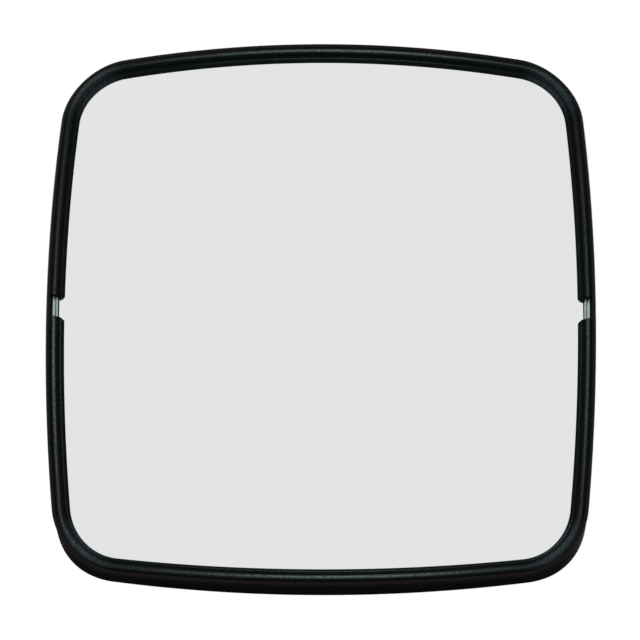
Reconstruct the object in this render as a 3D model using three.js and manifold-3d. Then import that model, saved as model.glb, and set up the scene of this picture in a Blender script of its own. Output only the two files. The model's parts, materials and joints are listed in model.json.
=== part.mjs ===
// Convex traffic mirror, 600 mm wide and 610 mm high, with a bracket for a 60 or 76 mm post or a wall.
// Units are millimetres. +Z is up and the mirror looks along -Y. The origin is the centre of the
// flat rear face of the post bracket. A rubber trim in two lengths covers a stainless retaining band,
// which shows in a short gap at mid-height on each side.

import * as THREE from "three";
import { mergeVertices } from "three/addons/utils/BufferGeometryUtils.js";
import Module from "manifold-3d";

const wasm = await Module();
wasm.setup();

// ---------------------------------------------------------------- driving dimensions

const FIT = 0.3; // gap kept between touching pieces

// The visible edge of the mirror: four shallow arcs joined by round corners.
const HALF_WIDTH = 280.5;
const HALF_HEIGHT = 285.5;
const SIDE_RADIUS = 2400;
const TOP_RADIUS = 1740;
const CORNER_RADIUS = 60;
const MIRROR_RADIUS = 1450; // radius of the spherical mirror face

// Rim section: s runs outwards from the visible edge, h forwards from the mirror's front face.
const MIRROR_EDGE = 8.2;
const MIRROR_THICKNESS = 3;
const SEAL_FRONT_EDGE = 5.9;
const SEAL_OUTER = 9.2;
const SEAL_WALL = 0.75;
const SEAL_LEG = 1.0;
const SEAL_REAR_EDGE = -4;
const BAND_INNER = 7.0;
const BAND_OUTER = 13.4;
const BAND_FRONT = 2.8;
const BAND_GAUGE = 1.2;
const BAND_LEG_END = -4.7;
const JOINT_PLATE_THICKNESS = 0.7;
const RIM_INNER = 14.9;
const RIM_OUTER = 19.5;
const RIM_FRONT = 9.6;
const LEDGE_FRONT = -5.1;
const LEDGE_EDGE = -12;
const WALL = 3.1; // wall of the back shell

// The moulding is pinched where it is bent round a corner, and the rear edge of the rim is squarer.
const CORNER_PINCH = 0.07; // share of the section's width that is lost in the middle of a corner
const CORNER_FLARE = 2.8;

// How far the ends of the trims are from mid-height: at the lip's root, its edge, and the two beads.
const GAP_ROOT = 9.9;
const GAP_LIP = 13.6;
const GAP_UPPER_BEAD = 13.3;
const GAP_LOWER_BEAD = 10.8;
const LEFT_GAP_RISE = 2.6; // the gap on the left is this much higher than the one on the right

// Depths behind the front of the mirror, and places along Y in the part's frame.
const RIM_DEPTH = 84; // rear edge of the rim, which lies in one plane
const DISH_DEPTH = 94;
const SHELL_DEPTH = 102;
const TILT_AXIS_Y = -97;
const PAN_AXIS_Y = -42;
const HEAD_PLATE_REAR = -131;
const HEAD_PLATE_THICKNESS = 4;
const HEAD_PLATE_SIZE = 150;
const HEAD_BOLT_SPACING = 104;
const SHELL_REAR = HEAD_PLATE_REAR - HEAD_PLATE_THICKNESS - FIT;
const APEX_Y = SHELL_REAR - SHELL_DEPTH; // front of the mirror
const INNER_PLATE_THICKNESS = 4;
const BOSS_WALL = 5;

// Tilt joint: two ears on the head outside two cheeks on the swivel yoke.
const TILT_LIMIT = 20; // degrees each way
const EAR_INNER = 28;
const EAR_THICKNESS = 4;
const CHEEK_INNER = 20;
const CHEEK_OUTER = 26;
const EAR_RADIUS = 46;
const CHEEK_RADIUS = 18;
const LOCK_RADIUS = 32; // from the tilt axis to the locking bolt
const LOCK_BOSS_RADIUS = 13;

// Pan joint: a knuckle between the two flanges of the post bracket.
const FLANGE_INNER = 29;
const FLANGE_THICKNESS = 6;
const FLANGE_NOSE = 20;
const FLANGE_ROOT = 40;
const KNUCKLE_RADIUS = 17;
const KNUCKLE_HALF = 27;

// Post bracket web and its U-bolts.
const WEB_WIDTH = 120;
const WEB_HEIGHT = 180;
const WEB_THICKNESS = 6;
const POST_RADIUS = 38.05;
const SMALL_POST_RADIUS = 30.15;
const U_BOLT_RADIUS = 4;
const U_BOLT_BEND = POST_RADIUS + U_BOLT_RADIUS + 0.45;
const U_BOLT_HEIGHT = 68;
const U_BOLT_FRONT = -24;

// Metric fasteners: shank radius, width across flats, head and nut heights, washer radius and thickness.
const M3 = { r: 1.45, head: 2.4, height: 1.5 };
const M8 = { r: 4, flats: 13, head: 5.3, nut: 6.8, washer: 8, thick: 1.6 };
const M10 = { r: 5, flats: 16, head: 6.4, nut: 8.4, washer: 10, thick: 2 };
const M12 = { r: 6, flats: 18, head: 7.5, nut: 12, washer: 12, thick: 2.5 };
const CLEARANCE = 0.5; // radial clearance of a bolt in its hole

// Mesh fineness
const SIDE_STEPS = 3;
const CORNER_STEPS = 6;
const SIDES = 16; // sides of a drilled hole or a shank
const ARC = 2; // fineness of each arc of an outline: four chords

// ---------------------------------------------------------------- materials

const rubber = new THREE.MeshStandardMaterial({ color: 0x15181a, roughness: 0.5, metalness: 0 });
const plastic = new THREE.MeshStandardMaterial({ color: 0x111214, roughness: 0.6, metalness: 0 });
const mirror = new THREE.MeshStandardMaterial({ color: 0xe4e4e4, roughness: 0.03, metalness: 1 });
const stainless = new THREE.MeshStandardMaterial({ color: 0xa7b1b5, roughness: 0.3, metalness: 1 });
const galvanised = new THREE.MeshStandardMaterial({ color: 0x9a9fa3, roughness: 0.5, metalness: 0.9 });
const zinc = new THREE.MeshStandardMaterial({ color: 0xb4b8ba, roughness: 0.35, metalness: 1 });
const nylon = new THREE.MeshStandardMaterial({ color: 0xd9d7cd, roughness: 0.55, metalness: 0 });

// ---------------------------------------------------------------- solids and booleans

function toSolid(geometry) {
  const bare = geometry.clone();
  bare.deleteAttribute("normal");
  bare.deleteAttribute("uv");
  const merged = mergeVertices(bare, 1e-4);
  return new wasm.Manifold(
    new wasm.Mesh({
      numProp: 3,
      vertProperties: merged.attributes.position.array,
      triVerts: new Uint32Array(merged.index.array),
    }),
  );
}

function toGeometry(solid) {
  const mesh = solid.getMesh();
  const geometry = new THREE.BufferGeometry();
  geometry.setAttribute("position", new THREE.BufferAttribute(mesh.vertProperties, 3));
  geometry.setIndex(new THREE.BufferAttribute(mesh.triVerts, 1));
  geometry.computeVertexNormals();
  return geometry;
}

function join(...geometries) {
  return toGeometry(geometries.map(toSolid).reduce((a, b) => a.add(b)));
}

function cut(geometry, ...tools) {
  return toGeometry(tools.map(toSolid).reduce((a, b) => a.subtract(b), toSolid(geometry)));
}

function place(geometry, x, y, z) {
  return geometry.clone().translate(x, y, z);
}

function extrude(shape, depth) {
  return new THREE.ExtrudeGeometry(shape, { depth, bevelEnabled: false, curveSegments: ARC });
}

// A plate whose outline lies in X and Z and whose rear face is at rearY.
function plateAcrossY(shape, rearY, thickness) {
  const plate = extrude(shape, thickness);
  return plate.rotateX(Math.PI / 2).translate(0, rearY, 0);
}

// A plate whose outline lies in Y and Z and whose low face is at lowX.
function plateAcrossX(shape, lowX, thickness) {
  const plate = extrude(shape, thickness);
  const turned = new THREE.Matrix4().makeBasis(
    new THREE.Vector3(0, 1, 0),
    new THREE.Vector3(0, 0, 1),
    new THREE.Vector3(1, 0, 0),
  );
  return plate.applyMatrix4(turned).translate(lowX, 0, 0);
}

// A plate whose outline lies in X and Y and whose low face is at lowZ.
function plateAcrossZ(shape, lowZ, thickness) {
  return extrude(shape, thickness).translate(0, 0, lowZ);
}

// Round bars along each axis, centred on the origin.
function barZ(radius, length, sides = SIDES) {
  return new THREE.CylinderGeometry(radius, radius, length, sides).rotateX(Math.PI / 2);
}

function barX(radius, length, sides = SIDES) {
  return new THREE.CylinderGeometry(radius, radius, length, sides).rotateZ(Math.PI / 2);
}

function barY(radius, length, sides = SIDES) {
  return new THREE.CylinderGeometry(radius, radius, length, sides);
}

function roundedRectangle(width, height, radius) {
  const x = width / 2;
  const y = height / 2;
  const shape = new THREE.Shape();
  shape.moveTo(x, y - radius);
  shape.absarc(x - radius, y - radius, radius, 0, Math.PI / 2);
  shape.absarc(radius - x, y - radius, radius, Math.PI / 2, Math.PI);
  shape.absarc(radius - x, radius - y, radius, Math.PI, 1.5 * Math.PI);
  shape.absarc(x - radius, radius - y, radius, 1.5 * Math.PI, 2 * Math.PI);
  return shape;
}

function circle(radius, x = 0, y = 0) {
  const shape = new THREE.Shape();
  for (let quarter = 0; quarter < 4; quarter++) {
    shape.absarc(x, y, radius, (quarter * Math.PI) / 2, ((quarter + 1) * Math.PI) / 2);
  }
  return shape;
}

function ring(inner, outer, thickness) {
  const shape = circle(outer);
  shape.holes.push(circle(inner));
  return plateAcrossZ(shape, 0, thickness);
}

// ---------------------------------------------------------------- outline of the mirror

// Stations along the visible edge: each has a point and the outward normal, in X and Z.
function arcStations(centre, radius, from, to, steps) {
  return Array.from({ length: steps + 1 }, (_, i) => {
    const angle = from + ((to - from) * i) / steps;
    const normal = new THREE.Vector2(Math.cos(angle), Math.sin(angle));
    return { point: normal.clone().multiplyScalar(radius).add(centre), normal };
  });
}

const sideCentre = new THREE.Vector2(HALF_WIDTH - SIDE_RADIUS, 0);
const topCentre = new THREE.Vector2(0, HALF_HEIGHT - TOP_RADIUS);

// The corner arc touches both long arcs from inside, so its centre is where two circles cross.
function cornerCentre() {
  const toSide = SIDE_RADIUS - CORNER_RADIUS;
  const toTop = TOP_RADIUS - CORNER_RADIUS;
  const between = topCentre.clone().sub(sideCentre);
  const distance = between.length();
  const along = (toSide ** 2 - toTop ** 2 + distance ** 2) / (2 * distance);
  const across = Math.sqrt(toSide ** 2 - along ** 2);
  const unit = between.normalize();
  const sideways = new THREE.Vector2(unit.y, -unit.x);
  const crossings = [across, -across].map((a) =>
    sideCentre.clone().addScaledVector(unit, along).addScaledVector(sideways, a),
  );
  return crossings.find((c) => c.x > 0 && c.y > 0);
}

const corner = cornerCentre();

// From the right side, at the given height above the middle, to the top.
function quarterStations(startHeight) {
  const start = Math.asin(startHeight / SIDE_RADIUS);
  const sideEnd = corner.clone().sub(sideCentre).angle();
  const topStart = corner.clone().sub(topCentre).angle();
  const side = arcStations(sideCentre, SIDE_RADIUS, start, sideEnd, SIDE_STEPS);
  const round = arcStations(corner, CORNER_RADIUS, sideEnd, topStart, CORNER_STEPS);
  const top = arcStations(topCentre, TOP_RADIUS, topStart, Math.PI / 2, SIDE_STEPS);
  return [...side, ...round.slice(1), ...top.slice(1)];
}

function flipped(stations, x, z) {
  const scale = new THREE.Vector2(x, z);
  return stations
    .map(({ point, normal }) => ({
      point: point.clone().multiply(scale),
      normal: normal.clone().multiply(scale),
    }))
    .reverse();
}

// Over the top from the right side to the left.
function upperStations(startHeight) {
  const quarter = quarterStations(startHeight);
  return [...quarter, ...flipped(quarter, -1, 1).slice(1)];
}

function ringStations() {
  const upper = upperStations(0);
  return [...upper, ...flipped(upper, 1, -1).slice(1, -1)];
}

const aroundTheEdge = ringStations();

// Depth of the mirror's front face behind its apex, at a distance from the middle.
function sag(distance) {
  return distance ** 2 / (2 * MIRROR_RADIUS);
}

// 0 where the edge runs level or upright, 1 where it runs at 45 degrees.
function cornerness({ normal }) {
  return (2 * normal.x * normal.y) ** 2;
}

// A point of the rim section at a station, in the head's own frame with the apex at y = 0.
function rimPoint(station, [s, h]) {
  const pinched = s * (1 - CORNER_PINCH * cornerness(station));
  const flat = station.point.clone().addScaledVector(station.normal, pinched);
  return new THREE.Vector3(flat.x, sag(station.point.length()) - h, flat.y);
}

// The station of the ring whose point is nearest to the given one.
function stationAt(x, z) {
  const onSide = Math.abs(x) > Math.abs(z);
  const centre = onSide ? sideCentre : topCentre;
  const radius = onSide ? SIDE_RADIUS : TOP_RADIUS;
  const angle = onSide ? Math.asin(Math.abs(z) / radius) : Math.acos(Math.abs(x) / radius);
  const scale = new THREE.Vector2(Math.sign(x) || 1, Math.sign(z) || 1);
  const [station] = arcStations(centre, radius, angle, angle, 1);
  return { point: station.point.multiply(scale), normal: station.normal.multiply(scale) };
}

// ---------------------------------------------------------------- lofts

// Builds a geometry from points and triangles, turned so that its faces point outwards.
function closedGeometry(points, triangles) {
  let volume = 0;
  for (const [a, b, c] of triangles) {
    volume += points[a].dot(points[b].clone().cross(points[c]));
  }
  const faces = volume < 0 ? triangles.map(([a, b, c]) => [a, c, b]) : triangles;
  const geometry = new THREE.BufferGeometry().setFromPoints(points);
  geometry.setIndex(faces.flat());
  geometry.computeVertexNormals();
  return geometry;
}

// Quads between each ring of points and the next, split into triangles.
function bands(rows, columns, wrapRows) {
  const triangles = [];
  for (let i = 0; i < (wrapRows ? rows : rows - 1); i++) {
    for (let j = 0; j < columns; j++) {
      const a = i * columns + j;
      const b = i * columns + ((j + 1) % columns);
      const c = ((i + 1) % rows) * columns + ((j + 1) % columns);
      const d = ((i + 1) % rows) * columns + j;
      triangles.push([a, b, c], [a, c, d]);
    }
  }
  return triangles;
}

// A closed section carried all the way round the edge.
function closedSweep(section) {
  const points = aroundTheEdge.flatMap((station) => section.map((at) => rimPoint(station, at)));
  return closedGeometry(points, bands(aroundTheEdge.length, section.length, true));
}

// A closed section carried along part of the edge, with flat ends.
function openSweep(section, stations) {
  const points = stations.flatMap((station) => section.map((at) => rimPoint(station, at)));
  const cap = THREE.ShapeUtils.triangulateShape(section.map(([s, h]) => new THREE.Vector2(s, h)), []);
  const last = (stations.length - 1) * section.length;
  const triangles = bands(stations.length, section.length, false);
  for (const [a, b, c] of cap) {
    triangles.push([a, b, c], [last + c, last + b, last + a]);
  }
  return closedGeometry(points, triangles);
}

// Rings of points closed by a point at each end.
function cappedLoft(first, rings, last) {
  const columns = rings[0].length;
  const points = [...rings.flat(), first, last];
  const triangles = bands(rings.length, columns, false);
  const firstIndex = points.length - 2;
  const lastIndex = points.length - 1;
  const lastRing = (rings.length - 1) * columns;
  for (let j = 0; j < columns; j++) {
    const next = (j + 1) % columns;
    triangles.push([firstIndex, next, j], [lastIndex, lastRing + j, lastRing + next]);
  }
  return closedGeometry(points, triangles);
}

// ---------------------------------------------------------------- fasteners, along +Z from a seat at z = 0

function hexagon(flats, height) {
  const corner = flats / Math.sqrt(3);
  return new THREE.CylinderGeometry(corner, corner, height, 6).rotateX(Math.PI / 2);
}

function hexBolt(size, length) {
  const overlap = size.head / 2;
  const head = place(hexagon(size.flats, size.head), 0, 0, -size.head / 2);
  const shank = place(barZ(size.r, length + overlap), 0, 0, (length - overlap) / 2);
  return join(head, shank);
}

function flangeBolt(size, length) {
  const flange = place(barZ(size.washer + 0.5, size.thick), 0, 0, -size.thick / 2);
  return join(place(hexBolt(size, length + size.thick), 0, 0, -size.thick), flange);
}

function hexNut(size) {
  const body = place(hexagon(size.flats, size.nut), 0, 0, size.nut / 2);
  return cut(body, barZ(size.r + FIT, 4 * size.nut));
}

function flangeNut(size) {
  const flange = place(barZ(size.washer + 0.5, size.thick), 0, 0, size.thick / 2);
  const body = place(hexagon(size.flats, size.nut), 0, 0, size.nut / 2);
  return cut(join(body, flange), barZ(size.r + FIT, 4 * size.nut));
}

function washer(size) {
  return ring(size.r + FIT, size.washer, size.thick);
}

function panScrew(size, length) {
  const head = place(barZ(size.head, size.height, 8), 0, 0, -size.height / 2);
  const shank = place(barZ(size.r, length + size.height / 2, 8), 0, 0, (length - size.height / 2) / 2);
  return join(head, shank);
}

// ---------------------------------------------------------------- mirror head, its apex at the origin

function scaledRing(factor, lift) {
  return aroundTheEdge.map(({ point }) => {
    const flat = point.clone().multiplyScalar(factor);
    return new THREE.Vector3(flat.x, sag(flat.length()) + lift, flat.y);
  });
}

function edgeRing(s, h) {
  return aroundTheEdge.map((station) => rimPoint(station, [s, h]));
}

function mirrorFace() {
  const factors = [0.25, 0.5, 0.75, 1];
  const front = factors.map((f) => scaledRing(f, 0));
  const rear = factors.map((f) => scaledRing(f, MIRROR_THICKNESS)).reverse();
  const rings = [...front, edgeRing(MIRROR_EDGE, 0), edgeRing(MIRROR_EDGE, -MIRROR_THICKNESS), ...rear];
  return cappedLoft(new THREE.Vector3(0, 0, 0), rings, new THREE.Vector3(0, MIRROR_THICKNESS, 0));
}

// U section that wraps the mirror's edge.
function faceSeal() {
  const rear = -MIRROR_THICKNESS - FIT;
  return closedSweep([
    [SEAL_FRONT_EDGE, FIT],
    [SEAL_OUTER - SEAL_WALL, FIT],
    [SEAL_OUTER - SEAL_WALL, rear],
    [SEAL_REAR_EDGE, rear],
    [SEAL_REAR_EDGE, rear - 1.5 * SEAL_LEG],
    [SEAL_OUTER, rear - 1.5 * SEAL_LEG],
    [SEAL_OUTER, FIT + SEAL_LEG],
    [SEAL_FRONT_EDGE, FIT + SEAL_LEG],
  ]);
}

// Where the small screws hold the band: on the top, on the bottom beside its joint, and on the sides.
const JOINT_SCREW = 9;
const FAR_SCREW = 150;
const SIDE_SCREW = 120;
const SCREW_S = 10.9;
const bandScrewStations = [
  stationAt(FAR_SCREW, HALF_HEIGHT),
  stationAt(-FAR_SCREW, HALF_HEIGHT),
  stationAt(-FAR_SCREW, -HALF_HEIGHT),
  stationAt(-JOINT_SCREW, -HALF_HEIGHT),
  stationAt(JOINT_SCREW, -HALF_HEIGHT),
  stationAt(FAR_SCREW, -HALF_HEIGHT),
  stationAt(HALF_WIDTH, SIDE_SCREW),
  stationAt(HALF_WIDTH, -SIDE_SCREW),
  stationAt(-HALF_WIDTH, SIDE_SCREW),
  stationAt(-HALF_WIDTH, -SIDE_SCREW),
];

function screwHoles(radius) {
  return bandScrewStations.map((station) => {
    const at = rimPoint(station, [SCREW_S, 0]);
    return place(barY(radius, 30, 8), at.x, at.y, at.z);
  });
}

// L section with a pressed groove, in one length whose ends meet at the bottom.
function retainingBand() {
  const under = BAND_FRONT - BAND_GAUGE;
  const middle = (BAND_INNER + BAND_OUTER) / 2;
  const groove = 0.8;
  const loop = closedSweep([
    [BAND_INNER, under],
    [BAND_INNER, BAND_FRONT],
    [middle - groove, BAND_FRONT],
    [middle, BAND_FRONT - groove / 1.6],
    [middle + groove, BAND_FRONT],
    [BAND_OUTER, BAND_FRONT],
    [BAND_OUTER, BAND_LEG_END],
    [BAND_OUTER - groove, BAND_LEG_END],
    [BAND_OUTER - groove, under],
  ]);
  const joint = place(new THREE.BoxGeometry(2, 60, 40), 0, sag(HALF_HEIGHT), -HALF_HEIGHT);
  return cut(loop, joint, ...screwHoles(M3.r + FIT));
}

// Small plate that bridges the ends of the band.
function bandJointPlate() {
  const station = stationAt(0, -HALF_HEIGHT);
  const centre = rimPoint(station, [SCREW_S, BAND_FRONT + FIT]);
  const shape = roundedRectangle(28, 4.6, 1.2);
  const plate = plateAcrossY(shape, 0, JOINT_PLATE_THICKNESS).translate(centre.x, centre.y, centre.z);
  return cut(plate, ...screwHoles(M3.r + FIT));
}

// Lip on the mirror, a small inner rib, the main bead and a leg pressed in beside the band.
const trimSection = [
  [0, 0.35],
  [0.6, 1.9],
  [2.0, 4.0],
  [3.4, 5.4],
  [4.8, 5.9],
  [6.0, 5.6],
  [6.9, 5.2],
  [7.1, 7.4],
  [7.9, 9.8],
  [9.1, 11.5],
  [10.6, 12.2],
  [12.2, 11.9],
  [13.7, 10.7],
  [14.6, 9.2],
  [14.6, -2.4],
  [14.2, -3.3],
  [13.75, -2.4],
  [13.75, 5.2],
  [12.9, 6.2],
  [8.6, 6.2],
  [8.1, 5.7],
  [8.1, 3.1],
  [6.6, 3.1],
  [6.6, 1.65],
  [5.6, 1.65],
  [5.6, 0.35],
];

// Prisms that shape the ends of the trims on both sides: the lip is cut at a slant, the bead a little short.
function trimEndCutters() {
  const root = GAP_ROOT - 0.1;
  const trimEnd = (bead) => [
    [-4, GAP_LIP + 3],
    [0, GAP_LIP],
    [SEAL_FRONT_EDGE, root],
    [BAND_INNER, root],
    [BAND_INNER, bead],
    [RIM_INNER + 2, bead],
  ];
  const lowerEnd = trimEnd(GAP_LOWER_BEAD).map(([s, z]) => [s, -z]);
  const outline = [...trimEnd(GAP_UPPER_BEAD), ...lowerEnd.reverse()];
  return [-1, 1].map((side) => {
    const rise = side < 0 ? LEFT_GAP_RISE : 0;
    const points = outline.map(([s, z]) => new THREE.Vector2(side * (HALF_WIDTH + s), z + rise));
    return plateAcrossY(new THREE.Shape(points), 60, 60);
  });
}

function upperTrim() {
  return cut(openSweep(trimSection, upperStations(GAP_ROOT)), ...trimEndCutters());
}

function lowerTrim() {
  const stations = flipped(upperStations(GAP_ROOT - LEFT_GAP_RISE), 1, -1);
  return cut(openSweep(trimSection, stations), ...trimEndCutters());
}

// A flat ring behind the rim at the given depth: the outline moved outwards by s, or scaled.
function flatRing(s, depth) {
  return aroundTheEdge.map((station) => {
    const outwards = s + CORNER_FLARE * cornerness(station);
    const flat = station.point.clone().addScaledVector(station.normal, outwards);
    return new THREE.Vector3(flat.x, depth, flat.y);
  });
}

function scaledFlatRing(factor, depth) {
  return aroundTheEdge.map(({ point }) => new THREE.Vector3(point.x * factor, depth, point.y * factor));
}

// The boss that carries the bracket, as a ring of the same number of points as the outline.
function bossRing(half, depth) {
  return aroundTheEdge.map(({ point }) => {
    const angle = point.angle();
    const power = 6;
    const [x, z] = [Math.cos(angle), Math.sin(angle)];
    const reach = half / (Math.abs(x) ** power + Math.abs(z) ** power) ** (1 / power);
    return new THREE.Vector3(reach * x, depth, reach * z);
  });
}

const BOSS_HALF = 82;
const PANEL_SINK = 4; // how far the panel round the boss is sunk
const DRAIN_RADIUS = 3;
const DRAIN_X = 60;
const DRAIN_DEPTH = 70;

const headBoltPlaces = [-1, 1].flatMap((x) =>
  [-1, 1].map((z) => [(x * HEAD_BOLT_SPACING) / 2, (z * HEAD_BOLT_SPACING) / 2]),
);

// The outer skin runs from the front of the rim to the boss, the inner skin from the boss to the ledge.
function backShell() {
  const outside = [
    edgeRing(RIM_INNER, RIM_FRONT - 1.6),
    edgeRing(RIM_INNER + 1, RIM_FRONT - 0.3),
    edgeRing(RIM_OUTER - 1.6, RIM_FRONT),
    edgeRing(RIM_OUTER, RIM_FRONT - 1.8),
    flatRing(RIM_OUTER, RIM_DEPTH - 4),
    flatRing(RIM_OUTER - 1.2, RIM_DEPTH - 1.2),
    flatRing(RIM_OUTER - 4, RIM_DEPTH),
    scaledFlatRing(0.95, RIM_DEPTH + 3),
    scaledFlatRing(0.84, DISH_DEPTH),
    scaledFlatRing(0.8, DISH_DEPTH - PANEL_SINK),
    scaledFlatRing(0.52, DISH_DEPTH - PANEL_SINK),
    scaledFlatRing(0.48, DISH_DEPTH),
    bossRing(BOSS_HALF + 8, DISH_DEPTH),
    bossRing(BOSS_HALF, SHELL_DEPTH),
  ];
  const inside = [
    bossRing(BOSS_HALF - 2, SHELL_DEPTH - BOSS_WALL),
    bossRing(BOSS_HALF + 5, DISH_DEPTH - WALL),
    scaledFlatRing(0.47, DISH_DEPTH - WALL),
    scaledFlatRing(0.51, DISH_DEPTH - PANEL_SINK - WALL),
    scaledFlatRing(0.81, DISH_DEPTH - PANEL_SINK - WALL),
    scaledFlatRing(0.85, DISH_DEPTH - WALL),
    scaledFlatRing(0.945, RIM_DEPTH + 3 - WALL),
    flatRing(RIM_OUTER - WALL - 3, RIM_DEPTH - WALL),
    flatRing(RIM_OUTER - WALL, RIM_DEPTH - WALL - 3),
    edgeRing(RIM_OUTER - WALL, LEDGE_FRONT - WALL),
    edgeRing(LEDGE_EDGE, LEDGE_FRONT - WALL),
    edgeRing(LEDGE_EDGE, LEDGE_FRONT),
    edgeRing(RIM_INNER, LEDGE_FRONT),
  ];
  const rearInside = new THREE.Vector3(0, SHELL_DEPTH - BOSS_WALL, 0);
  const rearOutside = new THREE.Vector3(0, SHELL_DEPTH, 0);
  const body = cappedLoft(rearInside, [...inside, ...outside], rearOutside);
  const boltHoles = headBoltPlaces.map(([x, z]) => place(barY(M8.r + CLEARANCE, 30), x, SHELL_DEPTH, z));
  const bottom = -HALF_HEIGHT - RIM_OUTER;
  const drains = [-DRAIN_X, DRAIN_X].map((x) => place(barZ(DRAIN_RADIUS, 20), x, DRAIN_DEPTH, bottom));
  return cut(body, ...boltHoles, ...drains, ...screwHoles(M3.r + FIT));
}

// ---------------------------------------------------------------- brackets, in the part's frame

function boltedPlate(size, radius, rearY, thickness) {
  const holes = headBoltPlaces.map(([x, z]) => place(barY(M8.r + CLEARANCE, 4 * thickness), x, rearY, z));
  return cut(plateAcrossY(roundedRectangle(size, size, radius), rearY, thickness), ...holes);
}

// Fan-shaped ear: a tilt hole at its centre and an arc slot for the locking bolt below it.
function earShape() {
  const fan = THREE.MathUtils.degToRad(TILT_LIMIT + 17);
  const down = -Math.PI / 2;
  const shape = new THREE.Shape();
  const plateEdge = HEAD_PLATE_REAR - 1 - TILT_AXIS_Y;
  shape.moveTo(plateEdge, 24);
  shape.lineTo(-8, CHEEK_RADIUS);
  shape.absarc(0, 0, CHEEK_RADIUS + 1, Math.PI / 2, 0, true);
  shape.lineTo(EAR_RADIUS * Math.cos(down + fan), EAR_RADIUS * Math.sin(down + fan));
  shape.absarc(0, 0, EAR_RADIUS, down + fan, down - fan / 2, true);
  shape.lineTo(plateEdge, -EAR_RADIUS - 4);
  shape.holes.push(circle(M10.r + CLEARANCE));
  shape.holes.push(arcSlot(LOCK_RADIUS, M8.r + CLEARANCE, THREE.MathUtils.degToRad(TILT_LIMIT + 1.5)));
  return shape;
}

function arcSlot(radius, half, sweep) {
  const down = -Math.PI / 2;
  const end = (angle) => [radius * Math.cos(down + angle), radius * Math.sin(down + angle)];
  const slot = new THREE.Path();
  slot.absarc(0, 0, radius + half, down - sweep, down + sweep, false);
  slot.absarc(...end(sweep), half, down + sweep, down + sweep + Math.PI, false);
  slot.absarc(0, 0, radius - half, down + sweep, down - sweep, true);
  slot.absarc(...end(-sweep), half, down - sweep + Math.PI, down - sweep + 2 * Math.PI, false);
  return slot;
}

function headBracket() {
  const plate = boltedPlate(HEAD_PLATE_SIZE, 14, HEAD_PLATE_REAR, HEAD_PLATE_THICKNESS);
  const ear = plateAcrossX(earShape(), 0, EAR_THICKNESS);
  const right = place(ear, EAR_INNER, TILT_AXIS_Y, 0);
  const left = place(ear, -EAR_INNER - EAR_THICKNESS, TILT_AXIS_Y, 0);
  return join(plate, right, left);
}

const YOKE_WEB_REAR = PAN_AXIS_Y - 20;
const YOKE_WEB_THICKNESS = 8;
const YOKE_WEB_HALF = 26;

// Cheek: hull-like outline round the tilt axis and the locking bolt, running back to the yoke's web.
function cheekShape() {
  const back = YOKE_WEB_REAR - TILT_AXIS_Y;
  const shape = new THREE.Shape();
  shape.moveTo(back, YOKE_WEB_HALF);
  shape.lineTo(4, CHEEK_RADIUS);
  shape.absarc(0, 0, CHEEK_RADIUS, Math.PI / 2, Math.PI, false);
  shape.absarc(0, -LOCK_RADIUS, LOCK_BOSS_RADIUS, Math.PI, 1.5 * Math.PI, false);
  shape.lineTo(8, -LOCK_RADIUS - LOCK_BOSS_RADIUS);
  shape.lineTo(back, -YOKE_WEB_HALF);
  shape.holes.push(circle(M10.r + CLEARANCE));
  shape.holes.push(circle(M8.r + CLEARANCE, 0, -LOCK_RADIUS));
  return shape;
}

function swivelYoke() {
  const cheek = plateAcrossX(cheekShape(), 0, CHEEK_OUTER - CHEEK_INNER);
  const right = place(cheek, CHEEK_INNER, TILT_AXIS_Y, 0);
  const left = place(cheek, -CHEEK_OUTER, TILT_AXIS_Y, 0);
  const webShape = roundedRectangle(2 * CHEEK_OUTER, 2 * YOKE_WEB_HALF, 2);
  const web = plateAcrossY(webShape, YOKE_WEB_REAR, YOKE_WEB_THICKNESS);
  const knuckle = place(barZ(KNUCKLE_RADIUS, 2 * KNUCKLE_HALF, 24), 0, PAN_AXIS_Y, 0);
  const gusset = place(new THREE.BoxGeometry(20, 16, 2 * YOKE_WEB_HALF), 0, PAN_AXIS_Y - 16, 0);
  const bore = place(barZ(M12.r + CLEARANCE, 4 * KNUCKLE_HALF), 0, PAN_AXIS_Y, 0);
  return cut(join(web, right, left, knuckle, gusset), bore);
}

// Flange of the post bracket: a round nose about the pan axis, widening to the web.
function flangeShape() {
  const shape = new THREE.Shape();
  shape.moveTo(-FLANGE_ROOT, -1);
  shape.lineTo(-FLANGE_NOSE, PAN_AXIS_Y);
  shape.absarc(0, PAN_AXIS_Y, FLANGE_NOSE, Math.PI, 1.5 * Math.PI, false);
  shape.absarc(0, PAN_AXIS_Y, FLANGE_NOSE, 1.5 * Math.PI, 2 * Math.PI, false);
  shape.lineTo(FLANGE_ROOT, -1);
  shape.holes.push(circle(M12.r + CLEARANCE, 0, PAN_AXIS_Y));
  return shape;
}

// Horizontal slots, so that the U-bolt's legs fit a 60 mm or a 76 mm post.
const SLOT_NEAR = SMALL_POST_RADIUS + U_BOLT_RADIUS + 0.45;
const SLOT_FAR = U_BOLT_BEND;

function postSlot(side, z) {
  const half = M8.r + CLEARANCE;
  const slot = roundedRectangle(SLOT_FAR - SLOT_NEAR + 2 * half, 2 * half, half - 0.01);
  const x = (side * (SLOT_NEAR + SLOT_FAR)) / 2;
  return plateAcrossY(slot, WEB_THICKNESS, 3 * WEB_THICKNESS).translate(x, 0, z);
}

function postBracket() {
  const web = plateAcrossY(roundedRectangle(WEB_WIDTH, WEB_HEIGHT, 10), 0, WEB_THICKNESS);
  const upper = plateAcrossZ(flangeShape(), FLANGE_INNER, FLANGE_THICKNESS);
  const lower = plateAcrossZ(flangeShape(), -FLANGE_INNER - FLANGE_THICKNESS, FLANGE_THICKNESS);
  const slots = [-1, 1].flatMap((side) => [-1, 1].map((up) => postSlot(side, up * U_BOLT_HEIGHT)));
  return cut(join(web, upper, lower), ...slots);
}

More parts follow.
